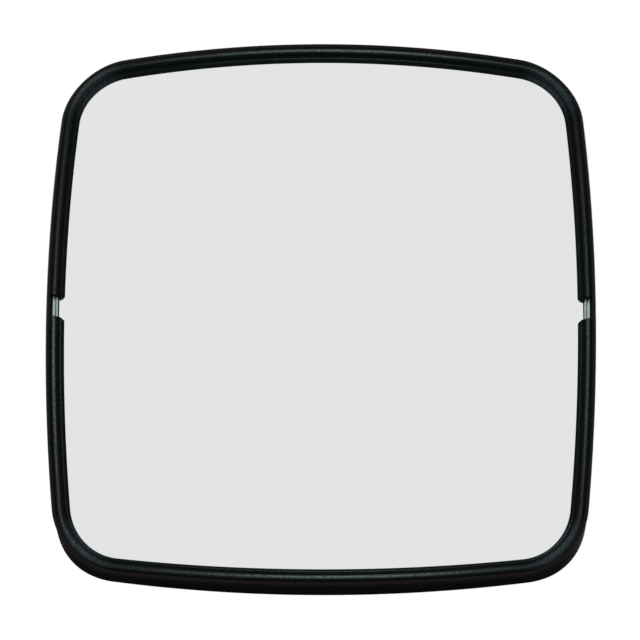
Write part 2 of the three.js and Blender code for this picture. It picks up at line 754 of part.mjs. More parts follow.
// Centre line of a U-bolt: two straight legs and a half circle round the back of the post.
class UBoltLine extends THREE.Curve {
  getPoint(t) {
    const leg = POST_RADIUS - U_BOLT_FRONT;
    const bend = Math.PI * U_BOLT_BEND;
    const run = t * (2 * leg + bend);
    if (run < leg) return new THREE.Vector3(U_BOLT_BEND, U_BOLT_FRONT + run, 0);
    if (run > leg + bend) return new THREE.Vector3(-U_BOLT_BEND, U_BOLT_FRONT + 2 * leg + bend - run, 0);
    const angle = (run - leg) / U_BOLT_BEND;
    return new THREE.Vector3(U_BOLT_BEND * Math.cos(angle), POST_RADIUS + U_BOLT_BEND * Math.sin(angle), 0);
  }
}

function uBolt() {
  const options = { steps: 28, extrudePath: new UBoltLine(), bevelEnabled: false, curveSegments: 1 };
  return new THREE.ExtrudeGeometry(circle(U_BOLT_RADIUS), options);
}

// ---------------------------------------------------------------- assembly

function mesh(name, geometry, material, x = 0, y = 0, z = 0) {
  const made = new THREE.Mesh(geometry, material);
  made.name = name;
  made.position.set(x, y, z);
  return made;
}

// A fastener drawn along +Z, turned so that it points along the given direction.
function fastener(name, geometry, material, position, direction) {
  const made = mesh(name, geometry, material, ...position);
  made.quaternion.setFromUnitVectors(new THREE.Vector3(0, 0, 1), new THREE.Vector3(...direction));
  return made;
}

function mirrorHead() {
  const head = new THREE.Group();
  const rim = new THREE.Group();
  rim.position.y = APEX_Y;
  rim.add(
    mesh("mirror_face", mirrorFace(), mirror),
    mesh("face_seal", faceSeal(), rubber),
    mesh("retaining_band", retainingBand(), stainless),
    mesh("band_joint_plate", bandJointPlate(), stainless),
    mesh("upper_trim", upperTrim(), rubber),
    mesh("lower_trim", lowerTrim(), rubber),
    mesh("back_shell", backShell(), plastic),
  );
  bandScrewStations.forEach((station, i) => {
    const jointed = Math.abs(station.point.x) < 2 * JOINT_SCREW && station.point.y < 0;
    const seat = BAND_FRONT + FIT + (jointed ? JOINT_PLATE_THICKNESS + FIT : 0);
    const at = rimPoint(station, [SCREW_S, seat]);
    rim.add(fastener(`band_screw_${i + 1}`, panScrew(M3, 12), zinc, [at.x, at.y, at.z], [0, 1, 0]));
  });
  const innerPlateRear = SHELL_REAR - BOSS_WALL - FIT;
  const innerPlateFront = innerPlateRear - INNER_PLATE_THICKNESS;
  head.add(
    rim,
    mesh("inner_plate", boltedPlate(130, 10, innerPlateRear, INNER_PLATE_THICKNESS), galvanised),
    mesh("head_bracket", headBracket(), galvanised),
  );
  headBoltPlaces.forEach(([x, z], i) => {
    const washerY = HEAD_PLATE_REAR + FIT;
    const headY = washerY + M8.thick + FIT;
    const forward = [0, -1, 0];
    head.add(
      fastener(`head_washer_${i + 1}`, washer(M8), zinc, [x, washerY + M8.thick, z], forward),
      fastener(`head_bolt_${i + 1}`, hexBolt(M8, 28), zinc, [x, headY, z], forward),
      fastener(`head_nut_${i + 1}`, hexNut(M8), zinc, [x, innerPlateFront - FIT, z], forward),
    );
  });
  return head;
}

function swivel() {
  const group = new THREE.Group();
  const discX = (EAR_INNER + CHEEK_OUTER) / 2;
  const discThickness = EAR_INNER - CHEEK_OUTER - 2 * FIT;
  const outerX = EAR_INNER + EAR_THICKNESS + FIT;
  const right = [1, 0, 0];
  const nutX = outerX + M10.thick + FIT;
  group.add(mesh("swivel_yoke", swivelYoke(), galvanised));
  [["left", -1], ["right", 1]].forEach(([side, sign]) => {
    const disc = ring(M10.r + FIT, 15, discThickness).translate(0, 0, -discThickness / 2);
    const outerWasher = washer(M10).translate(0, 0, -M10.thick / 2);
    const washerX = outerX + M10.thick / 2;
    group.add(
      fastener(`friction_disc_${side}`, disc, nylon, [sign * discX, TILT_AXIS_Y, 0], right),
      fastener(`tilt_washer_${side}`, outerWasher, zinc, [sign * washerX, TILT_AXIS_Y, 0], right),
    );
  });
  const spacer = ring(M10.r + FIT, 9, 2 * (CHEEK_INNER - FIT));
  const lockBolt = flangeBolt(M8, 2 * outerX + 10);
  const lockAxis = [TILT_AXIS_Y, -LOCK_RADIUS];
  group.add(
    fastener("tilt_spacer", spacer, zinc, [-CHEEK_INNER + FIT, TILT_AXIS_Y, 0], right),
    fastener("tilt_bolt", hexBolt(M10, 2 * nutX + 13), zinc, [-nutX, TILT_AXIS_Y, 0], right),
    fastener("tilt_nut", hexNut(M10), zinc, [nutX, TILT_AXIS_Y, 0], right),
    fastener("lock_bolt", lockBolt, zinc, [-outerX, ...lockAxis], right),
    fastener("lock_nut", flangeNut(M8), zinc, [outerX, ...lockAxis], right),
  );
  return group;
}

function postMounting() {
  const group = new THREE.Group();
  const down = [0, 0, -1];
  const outerZ = FLANGE_INNER + FLANGE_THICKNESS + FIT;
  const seatZ = outerZ + M12.thick + FIT;
  const thrust = FLANGE_INNER - KNUCKLE_HALF - 2 * FIT;
  const thrustRing = () => ring(M12.r + CLEARANCE, KNUCKLE_RADIUS, thrust);
  group.add(
    mesh("post_bracket", postBracket(), galvanised),
    mesh("thrust_washer_upper", thrustRing(), nylon, 0, PAN_AXIS_Y, KNUCKLE_HALF + FIT),
    mesh("thrust_washer_lower", thrustRing(), nylon, 0, PAN_AXIS_Y, -FLANGE_INNER + FIT),
    mesh("pan_washer_upper", washer(M12), zinc, 0, PAN_AXIS_Y, outerZ),
    mesh("pan_washer_lower", washer(M12), zinc, 0, PAN_AXIS_Y, -outerZ - M12.thick),
    fastener("pan_bolt", hexBolt(M12, 2 * seatZ + 16), zinc, [0, PAN_AXIS_Y, seatZ], down),
    fastener("pan_nut", hexNut(M12), zinc, [0, PAN_AXIS_Y, -seatZ], down),
  );
  [["upper", 1], ["lower", -1]].forEach(([level, up]) => {
    const z = up * U_BOLT_HEIGHT;
    group.add(mesh(`u_bolt_${level}`, uBolt(), zinc, 0, 0, z));
    [["left", -1], ["right", 1]].forEach(([side, sign]) => {
      const x = sign * U_BOLT_BEND;
      const forward = [0, -1, 0];
      const face = -WEB_THICKNESS - FIT;
      group.add(
        fastener(`u_washer_${level}_${side}`, washer(M8), zinc, [x, face, z], forward),
        fastener(`u_nut_${level}_${side}`, hexNut(M8), zinc, [x, face - M8.thick - FIT, z], forward),
      );
    });
  });
  return group;
}

const trafficMirror = new THREE.Group();
trafficMirror.add(postMounting(), swivel(), mirrorHead());

export default trafficMirror;
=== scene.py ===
"""Looks of the convex traffic mirror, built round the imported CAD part. Metres, in the part's own frame:
+Z up, the mirror looks along -Y, and the origin is the middle of the post bracket's rear face."""

import json
import math

import bmesh
import bpy
import numpy as np
from mathutils import Matrix, Vector
from mathutils.geometry import tessellate_polygon


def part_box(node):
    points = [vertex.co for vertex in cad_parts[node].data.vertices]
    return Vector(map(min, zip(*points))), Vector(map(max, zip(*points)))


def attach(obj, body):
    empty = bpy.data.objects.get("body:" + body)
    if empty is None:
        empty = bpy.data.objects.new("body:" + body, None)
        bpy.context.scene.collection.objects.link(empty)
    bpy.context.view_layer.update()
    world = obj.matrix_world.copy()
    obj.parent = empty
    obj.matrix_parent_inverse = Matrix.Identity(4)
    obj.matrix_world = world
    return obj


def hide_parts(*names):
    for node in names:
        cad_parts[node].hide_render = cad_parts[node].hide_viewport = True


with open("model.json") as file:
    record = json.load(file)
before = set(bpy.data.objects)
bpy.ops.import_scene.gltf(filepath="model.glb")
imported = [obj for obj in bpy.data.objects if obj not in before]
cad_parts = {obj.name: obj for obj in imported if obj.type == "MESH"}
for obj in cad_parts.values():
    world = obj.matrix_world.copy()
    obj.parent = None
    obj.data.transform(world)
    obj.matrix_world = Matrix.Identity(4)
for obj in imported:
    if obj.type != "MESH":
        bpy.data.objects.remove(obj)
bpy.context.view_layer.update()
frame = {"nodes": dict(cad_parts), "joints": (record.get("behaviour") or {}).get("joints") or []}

MM = 0.001
HEAD = "mirror_head"
YOKE = "swivel_yoke"
POST = "post_bracket"

# ---------------- sizes
# In sections of the rim, s runs outwards from the mirror's visible edge and h forwards from its face.
# A depth is measured backwards from the apex of the mirror.

APEX_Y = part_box("mirror_face")[0].y
SHELL_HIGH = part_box("back_shell")[1]
MIRROR_EDGE = 8.2 * MM  # how far the glass reaches under the trims
RIM_OUTER = 19.5 * MM
HALF_WIDTH = SHELL_HIGH.x - RIM_OUTER
HALF_HEIGHT = SHELL_HIGH.z - RIM_OUTER
SIDE_RADIUS = 2400 * MM
TOP_RADIUS = 1740 * MM
CORNER_RADIUS = 60 * MM
CORNER_PINCH = 0.07  # how much narrower the rim is at the corners
CORNER_FLARE = 2.8 * MM  # how much squarer the rear of the shell is there
UPPER_BEAD_END = 13.3  # in mm from mid-height, like the next two
LOWER_BEAD_END = 10.8
LEFT_GAP_RISE = 2.6
MIRROR_RADIUS = 1450 * MM
MIRROR_THICKNESS = 3 * MM
WALL = 3.1 * MM
RIM_DEPTH = 84 * MM
DISH_DEPTH = 94 * MM
SHELL_DEPTH = SHELL_HIGH.y - APEX_Y
BOSS_HALF = 82 * MM
BOSS_CENTRE_HALF = 20 * MM
PANEL_SINK = 4 * MM
PANEL_RIBS = 24
PAN_AXIS_Y, TILT_AXIS_Y = (joint["pos_m"][1] for joint in frame["joints"])

# Coarse metric threads: radius, pitch, width across flats and height of a bolt's head.
M8 = (4 * MM, 1.25 * MM, 13 * MM, 5.3 * MM)
M10 = (5 * MM, 1.5 * MM, 16 * MM, 6.4 * MM)
M12 = (6 * MM, 1.75 * MM, 18 * MM, 7.5 * MM)
THREAD_DEPTH = 0.6  # of the pitch
CLEARANCE = 0.5 * MM

# ---------------- outline of the mirror's visible edge
# A station is a row of four numbers: a point (x, z) and the outward normal there.

SIDE_STEPS = 16
CORNER_STEPS = 22


def turn(centre, radius, start, end, steps=10):
    """Points of an arc between two angles in degrees."""
    angles = np.radians(np.linspace(start, end, steps + 1))
    return np.asarray(centre) + radius * np.stack([np.cos(angles), np.sin(angles)], 1)


def arc_stations(centre, radius, start, end, steps):
    return np.hstack([turn(centre, radius, start, end, steps), turn((0, 0), 1, start, end, steps)])


def slant(vector):
    """The angle of a flat vector, in degrees."""
    return math.degrees(math.atan2(vector[1], vector[0]))


def quarter(start_height=0.0):
    """From the right side, at the given height, to the top. The corner arc touches both long arcs."""
    side = np.array([HALF_WIDTH - SIDE_RADIUS, 0])
    top = np.array([0, HALF_HEIGHT - TOP_RADIUS])
    to_side, to_top = SIDE_RADIUS - CORNER_RADIUS, TOP_RADIUS - CORNER_RADIUS
    between = top - side
    distance = np.linalg.norm(between)
    along = (to_side**2 - to_top**2 + distance**2) / (2 * distance)
    across = math.sqrt(to_side**2 - along**2)
    unit = between / distance
    corner = side + along * unit + across * np.array([-unit[1], unit[0]]) * -np.sign(unit[1])
    start = math.degrees(math.asin(start_height / SIDE_RADIUS))
    side_end, top_start = slant(corner - side), slant(corner - top)
    parts = [
        arc_stations(side, SIDE_RADIUS, start, side_end, SIDE_STEPS),
        arc_stations(corner, CORNER_RADIUS, side_end, top_start, CORNER_STEPS)[1:],
        arc_stations(top, TOP_RADIUS, top_start, 90, SIDE_STEPS)[1:],
    ]
    return np.concatenate(parts)


def mirrored(stations, x, z):
    """The stations reflected in x or z, whichever is -1, and in the opposite order."""
    return stations[::-1] * np.array([x, z, x, z])


def upper_half(start_height=0.0):
    right = quarter(start_height)
    return np.concatenate([right, mirrored(right, -1, 1)[1:]])


RING = np.concatenate([upper_half(), mirrored(upper_half(), 1, -1)[1:-1]])


def cornerness(stations):
    """0 where the edge runs level or upright, 1 where it runs at 45 degrees."""
    return (2 * stations[:, 2] * stations[:, 3]) ** 2


def sag(points):
    """How far the mirror's face lies behind its apex."""
    return (points**2).sum(1) / (2 * MIRROR_RADIUS)


def in_space(flat, depth):
    """Flat points, moved to a depth behind the apex of the mirror."""
    return np.stack([flat[..., 0], APEX_Y + np.broadcast_to(depth, flat.shape[:-1]), flat[..., 1]], -1)


def rim_rows(stations, section):
    """A section of the rim at every station."""
    s, h = np.asarray(section, float).T
    pinched = (1 - CORNER_PINCH * cornerness(stations))[:, None] * s
    flat = stations[:, None, :2] + stations[:, None, 2:] * pinched[..., None]
    return in_space(flat, sag(stations[:, :2])[:, None] - h)


def flat_row(s, depth):
    """A ring at one depth: the outline moved outwards by s, and squarer at its corners."""
    outwards = s + CORNER_FLARE * cornerness(RING)
    return in_space(RING[:, :2] + RING[:, 2:] * outwards[:, None], depth)


def scaled_row(factor, depth):
    """The outline, scaled about its middle, at one depth."""
    return in_space(RING[:, :2] * factor, depth)


# ---------------- meshes


def smooth_path(points, steps):
    """A Catmull-Rom curve through the points."""
    p = np.asarray(points, float)
    p = np.concatenate([[2 * p[0] - p[1]], p, [2 * p[-1] - p[-2]]])
    t = np.linspace(0, 1, steps, endpoint=False)[:, None]
    pieces = []
    for a, b, c, d in zip(p, p[1:], p[2:], p[3:]):
        quadratic = 2 * a - 5 * b + 4 * c - d
        cubic = 3 * b - a - 3 * c + d
        pieces.append(0.5 * (2 * b + (c - a) * t + quadratic * t**2 + cubic * t**3))
    return np.concatenate([*pieces, p[-2:-1]])


def lengths_along(points):
    steps = np.linalg.norm(np.diff(points, axis=0), axis=1)
    return np.concatenate([[0], np.cumsum(steps)])


def add_grid(bm, rows, close_rows=False, close_columns=False, caps=False):
    """Quads over rows of points. UV is in metres: from row to row, and along the middle row."""
    uv = bm.loops.layers.uv.verify()
    count, width = rows.shape[:2]
    middle = rows[count // 2]
    verts = [[bm.verts.new(co) for co in row] for row in rows]
    along = lengths_along(np.concatenate([rows[:, 0], rows[:1, 0]]))
    across = lengths_along(np.concatenate([middle, middle[:1]]))
    for i in range(count if close_rows else count - 1):
        for j in range(width if close_columns else width - 1):
            corners = [(i, j), (i, j + 1), (i + 1, j + 1), (i + 1, j)]
            face = bm.faces.new([verts[a % count][b % width] for a, b in corners])
            for loop, (a, b) in zip(face.loops, corners):
                loop[uv].uv = (along[a], across[b])
    if caps:
        bm.faces.new(verts[0])
        bm.faces.new(verts[-1])


def mesh_from(bm, name, sharp=35):
    bmesh.ops.recalc_face_normals(bm, faces=bm.faces)
    mesh = bpy.data.meshes.new(name)
    bm.to_mesh(mesh)
    bm.free()
    mesh.shade_smooth()
    mesh.set_sharp_from_angle(angle=math.radians(sharp))
    return mesh


def grid_mesh(name, rows, sharp=35, **kinds):
    bm = bmesh.new()
    add_grid(bm, np.asarray(rows), **kinds)
    return mesh_from(bm, name, sharp)


def set_wear_and_highlight(mesh, name, by_row, width):
    """Stores a number for each point, for wear and for painted highlights. The rows of the mesh have the
    given width, and one number each.
    """
    attribute = mesh.attributes.new(name, "FLOAT", "POINT")
    attribute.data.foreach_set("value", np.repeat(by_row, width).astype(np.float32))


def add_object(name, data):
    made = bpy.data.objects.new(name, data)
    bpy.context.scene.collection.objects.link(made)
    return made


def piece(node, mesh, material, body):
    """The visible shape of one CAD node. It rides on the node's body and stands for it."""
    made = add_object(node + "_shape", mesh)
    mesh.materials.append(material)
    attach(made, body)
    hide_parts(node)
    if material in (GALVANISED, ZINC):
        made.modifiers.new("flat_faces", "WEIGHTED_NORMAL").keep_sharp = True
    return made


# ---------------- material nodes


class Shader:
    """A Principled material with a few short ways to add nodes."""

    def __init__(self, name, metallic=0.0, specular=0.5, roughness=0.5):
        self.material = bpy.data.materials.new(name)
        self.material.use_nodes = True
        self.tree = self.material.node_tree
        self.bsdf = self.tree.nodes["Principled BSDF"]
        self.bsdf.inputs["Metallic"].default_value = metallic
        self.bsdf.inputs["Specular IOR Level"].default_value = specular
        self.bsdf.inputs["Roughness"].default_value = roughness

    def add(self, kind, **settings):
        node = self.tree.nodes.new(kind)
        for key, value in settings.items():
            setattr(node, key, value)
        return node

    def link(self, source, target):
        self.tree.links.new(source, target)

    def coordinates(self, scale=(1, 1, 1), source="Object"):
        """The place on the object, or in its UV map, with each axis scaled."""
        mapping = self.add("ShaderNodeMapping")
        mapping.inputs["Scale"].default_value = scale
        self.link(self.add("ShaderNodeTexCoord").outputs[source], mapping.inputs["Vector"])
        return mapping.outputs["Vector"]

    def noise(self, vector, scale, detail=3.0, roughness=0.5):
        node = self.add("ShaderNodeTexNoise")
        node.inputs["Scale"].default_value = scale
        node.inputs["Detail"].default_value = detail
        node.inputs["Roughness"].default_value = roughness
        self.link(vector, node.inputs["Vector"])
        return node.outputs["Fac"]

    def wear_and_highlight(self, name):
        """A number from 0 to 1 that set_wear_and_highlight has stored in the mesh, for wear and for painted
        highlights.
        """
        return self.add("ShaderNodeAttribute", attribute_name=name).outputs["Fac"]

    def cells(self, vector, scale):
        """A random grey for each cell of a Voronoi pattern."""
        node = self.add("ShaderNodeTexVoronoi")
        node.inputs["Scale"].default_value = scale
        self.link(vector, node.inputs["Vector"])
        return self.part(node.outputs["Color"], 0)

    def part(self, vector, index):
        split = self.add("ShaderNodeSeparateXYZ")
        self.link(vector, split.inputs["Vector"])
        return split.outputs[index]

    def across(self):
        """Distance across a moulding, in metres."""
        return self.part(self.coordinates(source="UV"), 1)

    def line(self, place, half_width, strength):
        """A soft line along a moulding, at the given distance across it."""
        away = self.math("ABSOLUTE", self.math("SUBTRACT", self.across(), place), 0.0)
        core = 0.1 * half_width
        return self.spread(away, strength, 0, core, half_width)

    def ramp(self, factor, *stops):
        node = self.add("ShaderNodeValToRGB")
        elements = node.color_ramp.elements
        while len(elements) < len(stops):
            elements.new(0.5)
        for element, (position, colour) in zip(elements, stops):
            element.position = position
            element.color = (*colour, 1)
        self.link(factor, node.inputs["Fac"])
        return node.outputs["Color"]

    def spread(self, factor, low, high, start=0.3, end=0.7):
        """Maps start..end to low..high. Most noise lies between 0.3 and 0.7."""
        node = self.add("ShaderNodeMapRange")
        for key, value in {"From Min": start, "From Max": end, "To Min": low, "To Max": high}.items():
            node.inputs[key].default_value = value
        self.link(factor, node.inputs["Value"])
        return node.outputs["Result"]

    def mix(self, factor, a, b):
        node = self.add("ShaderNodeMix", data_type="RGBA")
        for name, value in (("Factor", factor), ("A", a), ("B", b)):
            self.put(value, node.inputs[name])
        return node.outputs["Result"]

    def math(self, operation, a, b):
        node = self.add("ShaderNodeMath", operation=operation)
        self.put(a, node.inputs[0])
        self.put(b, node.inputs[1])
        return node.outputs["Value"]

    def put(self, value, socket):
        """Links a socket, or sets a colour or a number."""
        if isinstance(value, bpy.types.NodeSocket):
            self.link(value, socket)
        elif isinstance(value, tuple):
            socket.default_value = (*value, 1)
        else:
            socket.default_value = value

    def bump(self, height, distance, strength=1.0, below=None):
        node = self.add("ShaderNodeBump")
        node.inputs["Strength"].default_value = strength
        node.inputs["Distance"].default_value = distance
        self.link(height, node.inputs["Height"])
        if below is not None:
            self.link(below, node.inputs["Normal"])
        return node.outputs["Normal"]

    def finish(self, colour=None, roughness=None, normal=None):
        for socket, value in (("Base Color", colour), ("Roughness", roughness), ("Normal", normal)):
            if value is not None:
                self.link(value, self.bsdf.inputs[socket])
        return self.material


def rubber_material():
    """Extruded black rubber: lines along the moulding, fine grain, and a painted teal highlight where it is
    bent.

    The crest of the bead and, more faintly, the ridge of the lip carry a painted grey highlight. The lip is
    duller."""
    m = Shader("rubber", specular=0.05)
    place = m.coordinates()
    lines = m.noise(m.coordinates((4, 900, 1), "UV"), 1, 2)
    grain = m.noise(place, 1300, 3, 0.65)
    cloud = m.noise(place, 22, 4)
    speckle = m.noise(place, 480, 4, 0.7)
    colour = m.ramp(cloud, (0.35, (0.001, 0.0013, 0.0013)), (0.7, (0.0022, 0.0036, 0.004)))
    colour = m.mix(m.spread(lines, 0, 0.6, 0.5, 0.75), colour, (0.003, 0.005, 0.0056))
    colour = m.mix(m.spread(speckle, 0, 0.5, 0.5, 0.7), colour, (0.014, 0.019, 0.02))

    # Painted highlight: a teal glow along the bends of the trim, standing in for the light the corners
    # catch.
    bend_highlight_mask = m.spread(m.wear_and_highlight("bend"), 0, 1, 0.1, 0.9)
    bloom_and_painted_highlight = m.math("MULTIPLY", bend_highlight_mask, m.spread(lines, 0, 1.2, 0.4, 0.62))
    bloom_and_painted_highlight = m.math("MULTIPLY", bloom_and_painted_highlight, m.spread(speckle, 0.3, 1.3, 0.4, 0.65))
    colour = m.mix(bloom_and_painted_highlight, colour, (0.054, 0.08, 0.089))

    # Painted highlight: grey lines on the bead's crest and the lip's ridge, as strong as the stored crest
    # number says.
    crest_highlight_line = m.line(19.4 * MM, 2.1 * MM, 1.0)
    lip_highlight_line = m.line(6.5 * MM, 1.3 * MM, 0.38)
    crest_and_lip_highlight = m.math("MULTIPLY", m.wear_and_highlight("crest"), m.math("MAXIMUM", crest_highlight_line, lip_highlight_line))
    crest_and_lip_highlight = m.math("MULTIPLY", crest_and_lip_highlight, m.spread(speckle, 0.25, 1.1, 0.38, 0.62))
    colour = m.mix(crest_and_lip_highlight, colour, (0.178, 0.212, 0.212))

    roughness = m.spread(m.math("ADD", lines, grain), 0.38, 0.62, 0.8, 1.25)
    roughness = m.math("ADD", roughness, m.spread(m.across(), 0.3, 0, 10.5 * MM, 14.5 * MM))
    relief = 0.18 * MM
    return m.finish(colour, roughness, m.bump(lines, relief, 0.9, m.bump(grain, relief, 0.9)))


def plastic_material():
    """Black moulded plastic with a spark-eroded texture, a lighter back and a bleached front edge."""
    m = Shader("plastic", specular=0.08)
    place = m.coordinates()
    grain = m.noise(place, 900, 3)
    dust = m.noise(place, 7, 5, 0.6)
    colour = m.ramp(dust, (0.4, (0.0012, 0.0012, 0.0012)), (0.85, (0.0052, 0.0047, 0.0042)))
    # The back, from the bend behind the wall onwards, takes a lighter colour than the front and sides.
    lighter_back = m.ramp(dust, (0.3, (0.007, 0.0067, 0.0064)), (0.8, (0.015, 0.014, 0.013)))
    colour = m.mix(m.wear_and_highlight("back"), colour, lighter_back)
    bleached = m.math("MULTIPLY", m.wear_and_highlight("edge"), m.spread(dust, 0.7, 1))
    colour = m.mix(bleached, colour, (0.0105, 0.0088, 0.0082))
    return m.finish(colour, m.spread(dust, 0.42, 0.6), m.bump(grain, 0.1 * MM, 0.5))


def mirror_material():
    """Silvered glass, with the faintest haze where rain has dried."""
    m = Shader("mirror", metallic=1.0)
    haze = m.noise(m.coordinates((1, 1, 0.35)), 14, 4)
    colour = m.ramp(haze, (0.3, (0.938, 0.942, 0.942)), (0.8, (0.946, 0.948, 0.948)))
    return m.finish(colour, m.spread(haze, 0.015, 0.035))


def stainless_material():
    """Rolled stainless strip: draw lines along its length, with dull patches."""
    m = Shader("stainless", metallic=1.0)
    lines = m.noise(m.coordinates((3, 2600, 1), "UV"), 1, 3)
    patches = m.noise(m.coordinates(), 60, 3)
    colour = m.mix(patches, (0.35, 0.41, 0.43), (0.5, 0.57, 0.59))
    rough = m.spread(lines, 0.24, 0.42)
    return m.finish(colour, rough, m.bump(lines, 0.04 * MM, 0.5))


def galvanised_material():
    """Hot-dip galvanised steel: spangle, soft runs and a duller white bloom."""
    m = Shader("galvanised", metallic=0.9)
    place = m.coordinates()
    warp = m.mix(0.02, place, m.noise(place, 60, 2))
    spangle = m.cells(warp, 130)
    bloom_and_painted_highlight = m.noise(place, 16, 5, 0.6)
    metal = m.ramp(spangle, (0.1, (0.33, 0.35, 0.36)), (0.9, (0.52, 0.54, 0.55)))
    shade = m.ramp(bloom_and_painted_highlight, (0.35, (0.28, 0.29, 0.30)), (0.75, (0.50, 0.51, 0.51)))
    colour = m.mix(0.5, metal, shade)
    rough = m.spread(bloom_and_painted_highlight, 0.38, 0.62)
    return m.finish(colour, rough, m.bump(m.noise(place, 90, 4), 0.25 * MM, 0.5))


def zinc_material():
    """Bright zinc plating with a faint yellow cast and small scuffs."""
    m = Shader("zinc", metallic=1.0)
    place = m.coordinates()
    cast = m.noise(place, 45, 3)
    scuffs = m.noise(place, 420, 4, 0.7)
    colour = m.mix(cast, (0.52, 0.55, 0.58), (0.60, 0.58, 0.50))
    rough = m.spread(scuffs, 0.22, 0.42)
    return m.finish(colour, rough, m.bump(scuffs, 0.05 * MM, 0.5))


def nylon_material():
    """Natural nylon, a little dirty."""
    m = Shader("nylon", specular=0.4)
    dirt = m.noise(m.coordinates(), 120, 4)
    colour = m.ramp(dirt, (0.35, (0.62, 0.60, 0.53)), (0.75, (0.42, 0.40, 0.34)))
    return m.finish(colour, m.spread(dirt, 0.4, 0.6), m.bump(dirt, 0.05 * MM, 0.4))


def floor_material():
    m = Shader("floor", roughness=0.8, specular=0.2)
    cloud = m.noise(m.coordinates(), 0.6, 3)
    return m.finish(m.ramp(cloud, (0.3, (0.86, 0.86, 0.86)), (0.7, (0.9, 0.9, 0.9))))


RUBBER = rubber_material()
PLASTIC = plastic_material()
MIRROR = mirror_material()
STAINLESS = stainless_material()
GALVANISED = galvanised_material()
ZINC = zinc_material()
NYLON = nylon_material()

# ---------------- mirror, seal, band and trims


def make_mirror_face():
    """A bulged sheet with a bevelled edge."""
    factors = np.linspace(0.04, 1, 30)

    def disc(lift):
        return [in_space(flat, sag(flat) + lift) for flat in (RING[:, :2] * f for f in factors)]

    e, t, bevel = MIRROR_EDGE, MIRROR_THICKNESS, 0.6 * MM
    edge = [(e - bevel, 0), (e, -bevel), (e, bevel - t), (e - bevel, -t)]
    rows = np.array([*disc(0), *rim_rows(RING, edge).transpose(1, 0, 2), *disc(t)[::-1]])
    mesh = grid_mesh("mirror_face", rows, close_columns=True, caps=True)
    piece("mirror_face", mesh, MIRROR, HEAD)


def make_face_seal():
    """A channel round the edge of the mirror."""
    section = [(5.9, 0.3), (8.45, 0.3), (8.45, -3.3), (-4, -3.3), (-4, -4.8), (9.2, -4.8), (9.2, 1.1)]
    section += [(9.0, 1.3), (6.3, 1.3), (5.9, 0.9)]
    rows = rim_rows(RING, np.array(section) * MM)
    mesh = grid_mesh("face_seal", rows, close_rows=True, close_columns=True)
    piece("face_seal", mesh, RUBBER, HEAD)


def make_retaining_band():
    """An L strip with a pressed groove, in one length whose ends nearly meet at the bottom."""
    groove = [(8.6, 2.8), (9.3, 2.55), (9.9, 2.1), (10.2, 2.0), (10.5, 2.1), (11.1, 2.55), (11.8, 2.8)]
    outside = [(7.0, 1.7), (7.0, 2.6), (7.15, 2.75), (7.4, 2.8), *smooth_path(groove, 3)]
    outside += [(13.1, 2.8), (13.3, 2.7), (13.4, 2.5), (13.4, -4.7)]
    section = np.array([*outside, (12.6, -4.7), (12.6, 1.6), (7.1, 1.6)]) * MM
    q = quarter()
    stations = np.concatenate([mirrored(q, 1, -1), q[1:], mirrored(q, -1, 1)[1:], q[1:] * -1])
    half_gap = 1 * MM
    stations[0, 0] += half_gap
    stations[-1, 0] -= half_gap
    mesh = grid_mesh("retaining_band", rim_rows(stations, section), close_columns=True, caps=True)
    piece("retaining_band", mesh, STAINLESS, HEAD)


def trim_section():
    """The visible profile from the lip's edge to the bead's outer side, then the underside. In mm."""
    lip = [(0, 0.35), (0.1, 0.9), (0.6, 1.9), (1.7, 3.55), (2.7, 4.85), (3.4, 5.55), (3.7, 5.7)]
    groove = [(3.95, 5.5), (4.5, 4.85), (5.2, 4.4), (6.0, 4.2), (6.6, 4.1), (6.9, 4.7)]
    bead = [(7.1, 7.2), (7.9, 9.8), (9.1, 11.5), (10.6, 12.2), (12.2, 11.9), (13.6, 11.0), (14.4, 10.1)]
    visible = smooth_path([*lip, *groove, *bead], 4)
    leg = [(14.6, 9.6), (14.6, -2.4), (14.2, -3.3), (13.75, -2.4), (13.75, 5.2), (12.9, 6.2)]
    foot = [(8.6, 6.2), (8.1, 5.7), (8.1, 3.1), (6.6, 3.1), (6.6, 1.65), (5.6, 1.65), (5.6, 0.35)]
    return np.array([*visible, *leg, *foot]), len(visible)


def trim_end(section, bead_end, shrink, rise=0.0):
    """The cut end of a trim on the right side: the lip is slanted, and the bead ends at its own height.

    The edges of the cut are soft: the end face, where shrink is 1, is a little smaller."""
    section = section + (section.mean(0) - section) * 0.04 * shrink
    s, h = section.T * MM
    cut_s = [-1, 0, 5.9, 6.9, 7.1, 20]
    cut_height = [14.4, 13.6, 9.9, 9.9, bead_end, bead_end]
    height = np.interp(section[:, 0], cut_s, cut_height)
    height = (height + 0.35 * (1 - shrink) + rise) * MM
    x = HALF_WIDTH - SIDE_RADIUS + np.sqrt(SIDE_RADIUS**2 - height**2)
    flat = np.stack([x + s, height], 1)
    return in_space(flat, (x**2 + height**2) / (2 * MIRROR_RADIUS) - h)


def crest_highlight_strength(stations, left_highlight, right_highlight):
    """How bright the painted highlight on the bead's crest is: most at the middle of each side, least at
    the corners.
    """
    x, z, out_x, out_z = stations.T
    level_middle, level_reach, upright_reach = 20 * MM, 140 * MM, 190 * MM
    level = out_z**4 * np.exp(-(((x - level_middle) / level_reach) ** 2))
    upright = out_x**4 * np.exp(-((z / upright_reach) ** 2)) * np.where(x < 0, left_highlight, right_highlight)
    return level + upright + 0.1 * cornerness(stations)


